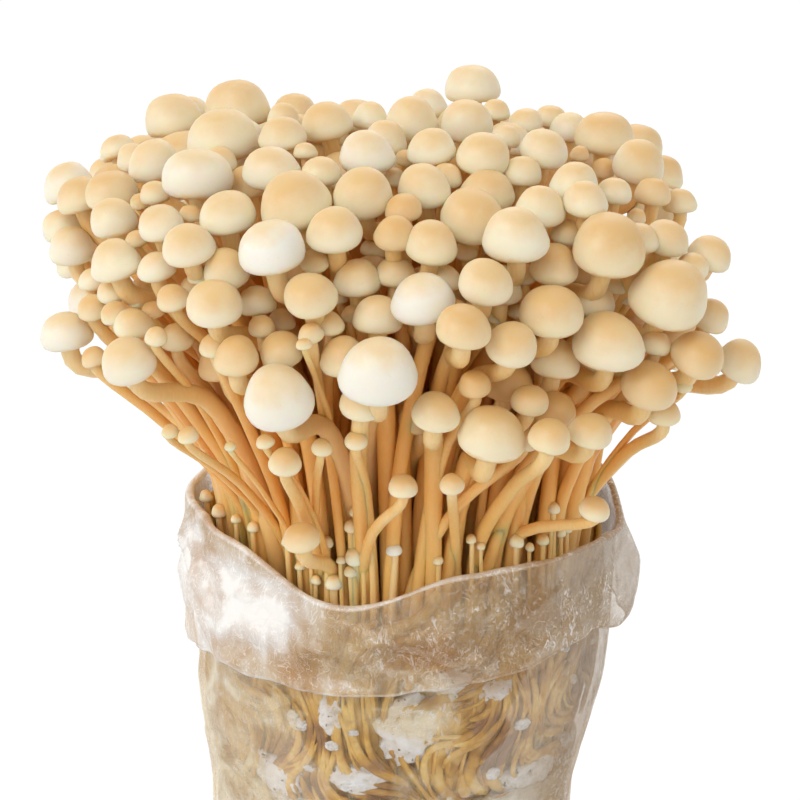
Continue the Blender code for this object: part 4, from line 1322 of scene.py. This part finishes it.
def cap_skin():
    """Satin skin, pale at the rim and tanner at the top by each cap's tone; painted shade darkens the
    underside and high tones.
    """
    skin = skin_named("cap skin")
    mottle = skin.noise(160)
    rise = skin.plus(skin.attribute("cap_rise"), skin.times(skin.calc("SUBTRACT", mottle, 0.5), 0.5))
    tone = skin.attribute("tone")
    colour, *others = (skin.ramp(rise, stops) for stops in CAP_COLOURS)
    # Tones above 2 blend to amber: painted shade for caps deep in the bunch.
    for step, other in enumerate((*others, CAP_SHADE_AMBER)):
        colour = skin.blend(skin.scale(tone, step, step + 1), colour, other)
    speckle = skin.scale(skin.noise(1300, 2), 0.68, 0.76, 0.0, 0.14)
    colour = skin.blend(speckle, colour, (0.62, 0.36, 0.14))
    sheen = skin.scale(mottle, 0.3, 0.7, 0.36, 0.48)
    skin.finish(colour, sheen, skin.bump(skin.noise(700), 0.10, 0.0004), (0.5, (1.0, 0.50, 0.20), 0.0022))
    return skin.owner


def stem_skin():
    """Amber in the depth of the bunch, as painted shade, and paler towards the cap, with fine streaks along
    the stem.
    """
    skin = skin_named("stem skin")
    streaks = skin.noise(1500, 3, 0.6, stretch=(1, 1, 0.07))
    rise = skin.plus(skin.attribute("stem_rise"), skin.scale(skin.noise(90, 2), 0.25, 0.75, -0.15, 0.15))
    colour = skin.ramp(rise, STEM_COLOURS)
    colour = skin.blend(skin.scale(streaks, 0.45, 0.75, 0.0, 0.30), colour, (0.78, 0.40, 0.09))
    # Painted shade: deeper amber where the stem lies deep in the bunch.
    colour = skin.blend(skin.attribute("depth"), colour, (0.95, 0.43, 0.07))
    colour = skin.blend(skin.scale(skin.attribute("tone"), 0.0, 1.2, 0.5, 0.0), colour, (0.90, 0.70, 0.40))
    sheen = skin.scale(streaks, 0.3, 0.7, 0.34, 0.48)
    skin.finish(colour, sheen, skin.bump(streaks, 0.20, 0.0004), (0.7, (1.0, 0.55, 0.25), 0.0012))
    return skin.owner


def pressed_skin():
    """Golden to brown, for the stems that lie pressed and old behind the film, with painted shade towards +X.
    """
    skin = skin_named("pressed stem skin")
    streaks = skin.noise(240, 4, 0.65)
    blotches = skin.scale(skin.noise(75, 3, 0.6), 0.35, 0.65, -0.5, 1.5)
    age_and_side_shade = skin.plus(skin.times(skin.attribute("tone"), 0.55), blotches)
    colour = skin.ramp(skin.scale(age_and_side_shade, 0, 2), PRESSED_COLOURS)
    colour = skin.blend(skin.scale(streaks, 0.50, 0.72, 0.0, 0.55), colour, (0.36, 0.16, 0.04))
    skin.finish(colour, 0.45, skin.bump(streaks, 0.3, 0.0005))
    return skin.owner


def mycelium():
    """White, felted mycelium with dark specks of sawdust."""
    skin = skin_named("mycelium")
    felt = skin.noise(420, 5, 0.65)
    colour = skin.ramp(felt, FELT_COLOURS)
    specks = skin.scale(skin.noise(620, 2, 0.5), 0.655, 0.70, 0.0, 0.9)
    skin.finish(skin.blend(specks, colour, (0.10, 0.06, 0.035)), 0.85, skin.bump(felt, 0.5, 0.0012))
    return skin.owner


def substrate_skin():
    """Sawdust, brown under the film where the white mycelium hasn't covered it."""
    skin = skin_named("substrate")
    grain = skin.noise(700, 5, 0.65)
    dust = skin.ramp(grain, DUST_COLOURS)
    white = skin.ramp(grain, ((0.25, (0.66, 0.61, 0.50)), (0.6, (0.86, 0.84, 0.78))))
    cover = skin.scale(skin.noise(62, 5, 0.62), 0.40, 0.54)
    skin.finish(skin.blend(cover, dust, white), 0.9, skin.bump(grain, 0.6, 0.0012))
    return skin.owner


def film_skin():
    """Thin crinkled film, clear with milky and stained patches, glossy, with painted glints on wrinkles and
    painted shade on +X.
    """
    skin = skin_named("milky film")
    patches = skin.noise(52, 3, 0.6, 0.6)
    crinkle = skin.noise(240, 2, 0.6, 1.4)
    cuff = skin.attribute("cuff")
    # Painted highlights: thin white lines along the crinkles and short glints, which whiten the film and
    # raise its haze.
    lines = skin.scale(skin.calc("ABSOLUTE", skin.calc("SUBTRACT", crinkle, 0.5)), 0.0, 0.018, 0.7, 0.0)
    glints = skin.scale(skin.noise(620, 2, 0.7, 2.0, (1, 1, 0.45)), 0.575, 0.64)
    lines = skin.calc("MAXIMUM", lines, skin.times(glints, skin.scale(patches, 0.42, 0.60, 0.15, 1.0)))
    flecks = skin.scale(skin.noise(150, 3, 0.65), 0.54, 0.68, 0.0, 0.34)
    milky = skin.plus(
        skin.attribute("milky"), skin.scale(patches, 0.38, 0.66, -0.30, 0.35),
        skin.times(flecks, skin.scale(cuff, 0, 1, 0.30, 1.0)),
    )
    stain = skin.plus(skin.scale(patches, 0.56, 0.38, 0.0, 0.7), skin.attribute("stained"))
    edge_on = skin.add("LayerWeight", {"Blend": 0.5}, "Facing")
    haze = skin.plus(
        skin.scale(milky, 0.0, 1.5, 0.02, 0.94), skin.times(cuff, 0.05),
        skin.times(lines, skin.scale(cuff, 0.0, 1.0, 0.05, 0.27)), skin.scale(stain, 0.2, 1.6, 0.0, 0.30),
        skin.scale(edge_on, 0.80, 0.98, 0.0, 0.45),
    )
    clean = skin.blend(cuff, (0.92, 0.70, 0.32), (0.95, 0.74, 0.44))
    milk = skin.blend(cuff, (0.94, 0.85, 0.64), (0.97, 0.94, 0.90))
    colour = skin.blend(skin.scale(milky, 0.25, 0.9), clean, milk)
    colour = skin.blend(skin.scale(stain, 0.0, 1.2, 0.0, 0.95), colour, (0.54, 0.26, 0.07))
    # Painted shade: the film turns darker brown towards its +X side, the side away from the light.
    painted_side_shade = skin.scale(skin.across(skin.place()), 0.012, 0.054, 0.0, 0.90)
    colour = skin.blend(painted_side_shade, colour, (0.44, 0.26, 0.07))
    # Painted highlight: the glint lines turn the film near white.
    colour = skin.blend(lines, colour, (0.95, 0.93, 0.90))
    rough = skin.bump(crinkle, 0.60, 0.0012)
    body = skin.finish(colour, 0.42, rough, Alpha=haze)
    gloss = skin.add("BsdfGlossy", {"Color": (1, 0.96, 0.88), "Roughness": 0.14, "Normal": rough})
    skin.surface(skin.scale(skin.add("Fresnel", {"IOR": 1.40}), 0.03, 0.8, 0.010, 0.20), body, gloss)
    return skin.owner

# Camera, lights and floor

# Light of the surroundings from the left and from the right
WORLD_LIGHT = (1.15, 0.48)
FLOOR_WHITE = 1.07
FLOOR_HALF = 4.0
FLOOR_UNDER = 0.0002
# Lamps: name, place, size, power and colour, and the place that they all shine on
LAMPS = (
    ("key", (-0.75, -0.95, 1.05), 0.7, 4.3, (1.0, 0.985, 0.96)),
    ("fill", (0.9, -0.7, 0.5), 0.8, 0.5, (1, 1, 1)),
    ("back", (0.2, 0.9, 0.9), 0.8, 2.0, (1, 1, 1)),
)
LIT_PLACE = Vector((0, 0, 0.2))


def aimed(name, data, place, way):
    """A camera or a lamp at its place, looking along its way."""
    thing = bpy.data.objects.new(name, data)
    thing.location = place
    thing.rotation_euler = Vector(way).to_track_quat("-Z", "Y").to_euler()
    bpy.context.scene.collection.objects.link(thing)
    return thing


def make_camera():
    data = bpy.data.cameras.new("camera")
    data.sensor_width = 36
    data.lens = data.sensor_width * VIEW_PIXELS / PHOTO_SIZE
    data.clip_start = 0.01
    bpy.context.scene.camera = aimed("camera", data, *sight_line(*PHOTO_CENTRE))


def make_lamps():
    for name, place, size, power, colour in LAMPS:
        data = bpy.data.lights.new(name, "AREA")
        data.shape = "DISK"
        data.size = size
        data.energy = power
        data.color = colour
        aimed(name, data, place, LIT_PLACE - Vector(place))


def white_for_camera(nodes):
    """Share of the plain white that the camera, mirrors and clear things see."""
    rays = nodes.add("LightPath").node.outputs
    seen = (rays[name] for name in ("Is Camera Ray", "Is Glossy Ray", "Is Transmission Ray"))
    return functools.reduce(lambda share, ray: nodes.calc("MAXIMUM", share, ray), seen)


def make_world():
    """Plain white for the camera, and for the pieces a light that falls off from left to right."""
    nodes = Nodes(bpy.data.worlds.new("studio"))
    bpy.context.scene.world = nodes.owner
    light = nodes.scale(nodes.across(nodes.add("TexCoord", output="Generated")), -1, 1, *WORLD_LIGHT)
    strength = nodes.add("Mix", {0: white_for_camera(nodes), 2: light, 3: 1.0}, data_type="FLOAT")
    nodes.feed(nodes.tree.nodes["Background"], {"Color": (1, 1, 1), "Strength": strength})


def make_floor():
    """Matte, and plain white like the background where the camera sees it."""
    nodes = Nodes(bpy.data.materials.new("pale floor"))
    nodes.tree.nodes.remove(nodes.tree.nodes["Principled BSDF"])
    matte = nodes.add("BsdfDiffuse", {"Color": (0.86, 0.86, 0.86)})
    glow = nodes.add("Emission", {"Color": (1, 1, 1), "Strength": FLOOR_WHITE})
    nodes.surface(nodes.scale(white_for_camera(nodes), 0, 1, 0.0, 0.85), matte, glow)
    half = FLOOR_HALF
    corners = [(-half, -half, 0), (half, -half, 0), (half, half, 0), (-half, half, 0)]
    mesh = bpy.data.meshes.new("floor")
    mesh.from_pydata(corners, [], [(0, 1, 2, 3)])
    mesh.materials.append(nodes.owner)
    floor = bpy.data.objects.new("floor", mesh)
    floor.location.z = -FLOOR_UNDER
    bpy.context.scene.collection.objects.link(floor)


def main():
    make_mushrooms((cap_skin(), stem_skin()))
    make_pressed_stems(pressed_skin())
    make_lumps(mycelium())
    make_substrate(substrate_skin())
    make_bag(film_skin())
    make_camera()
    make_world()
    make_floor()
    make_lamps()
    bpy.context.scene.view_settings.view_transform = "Standard"


main()
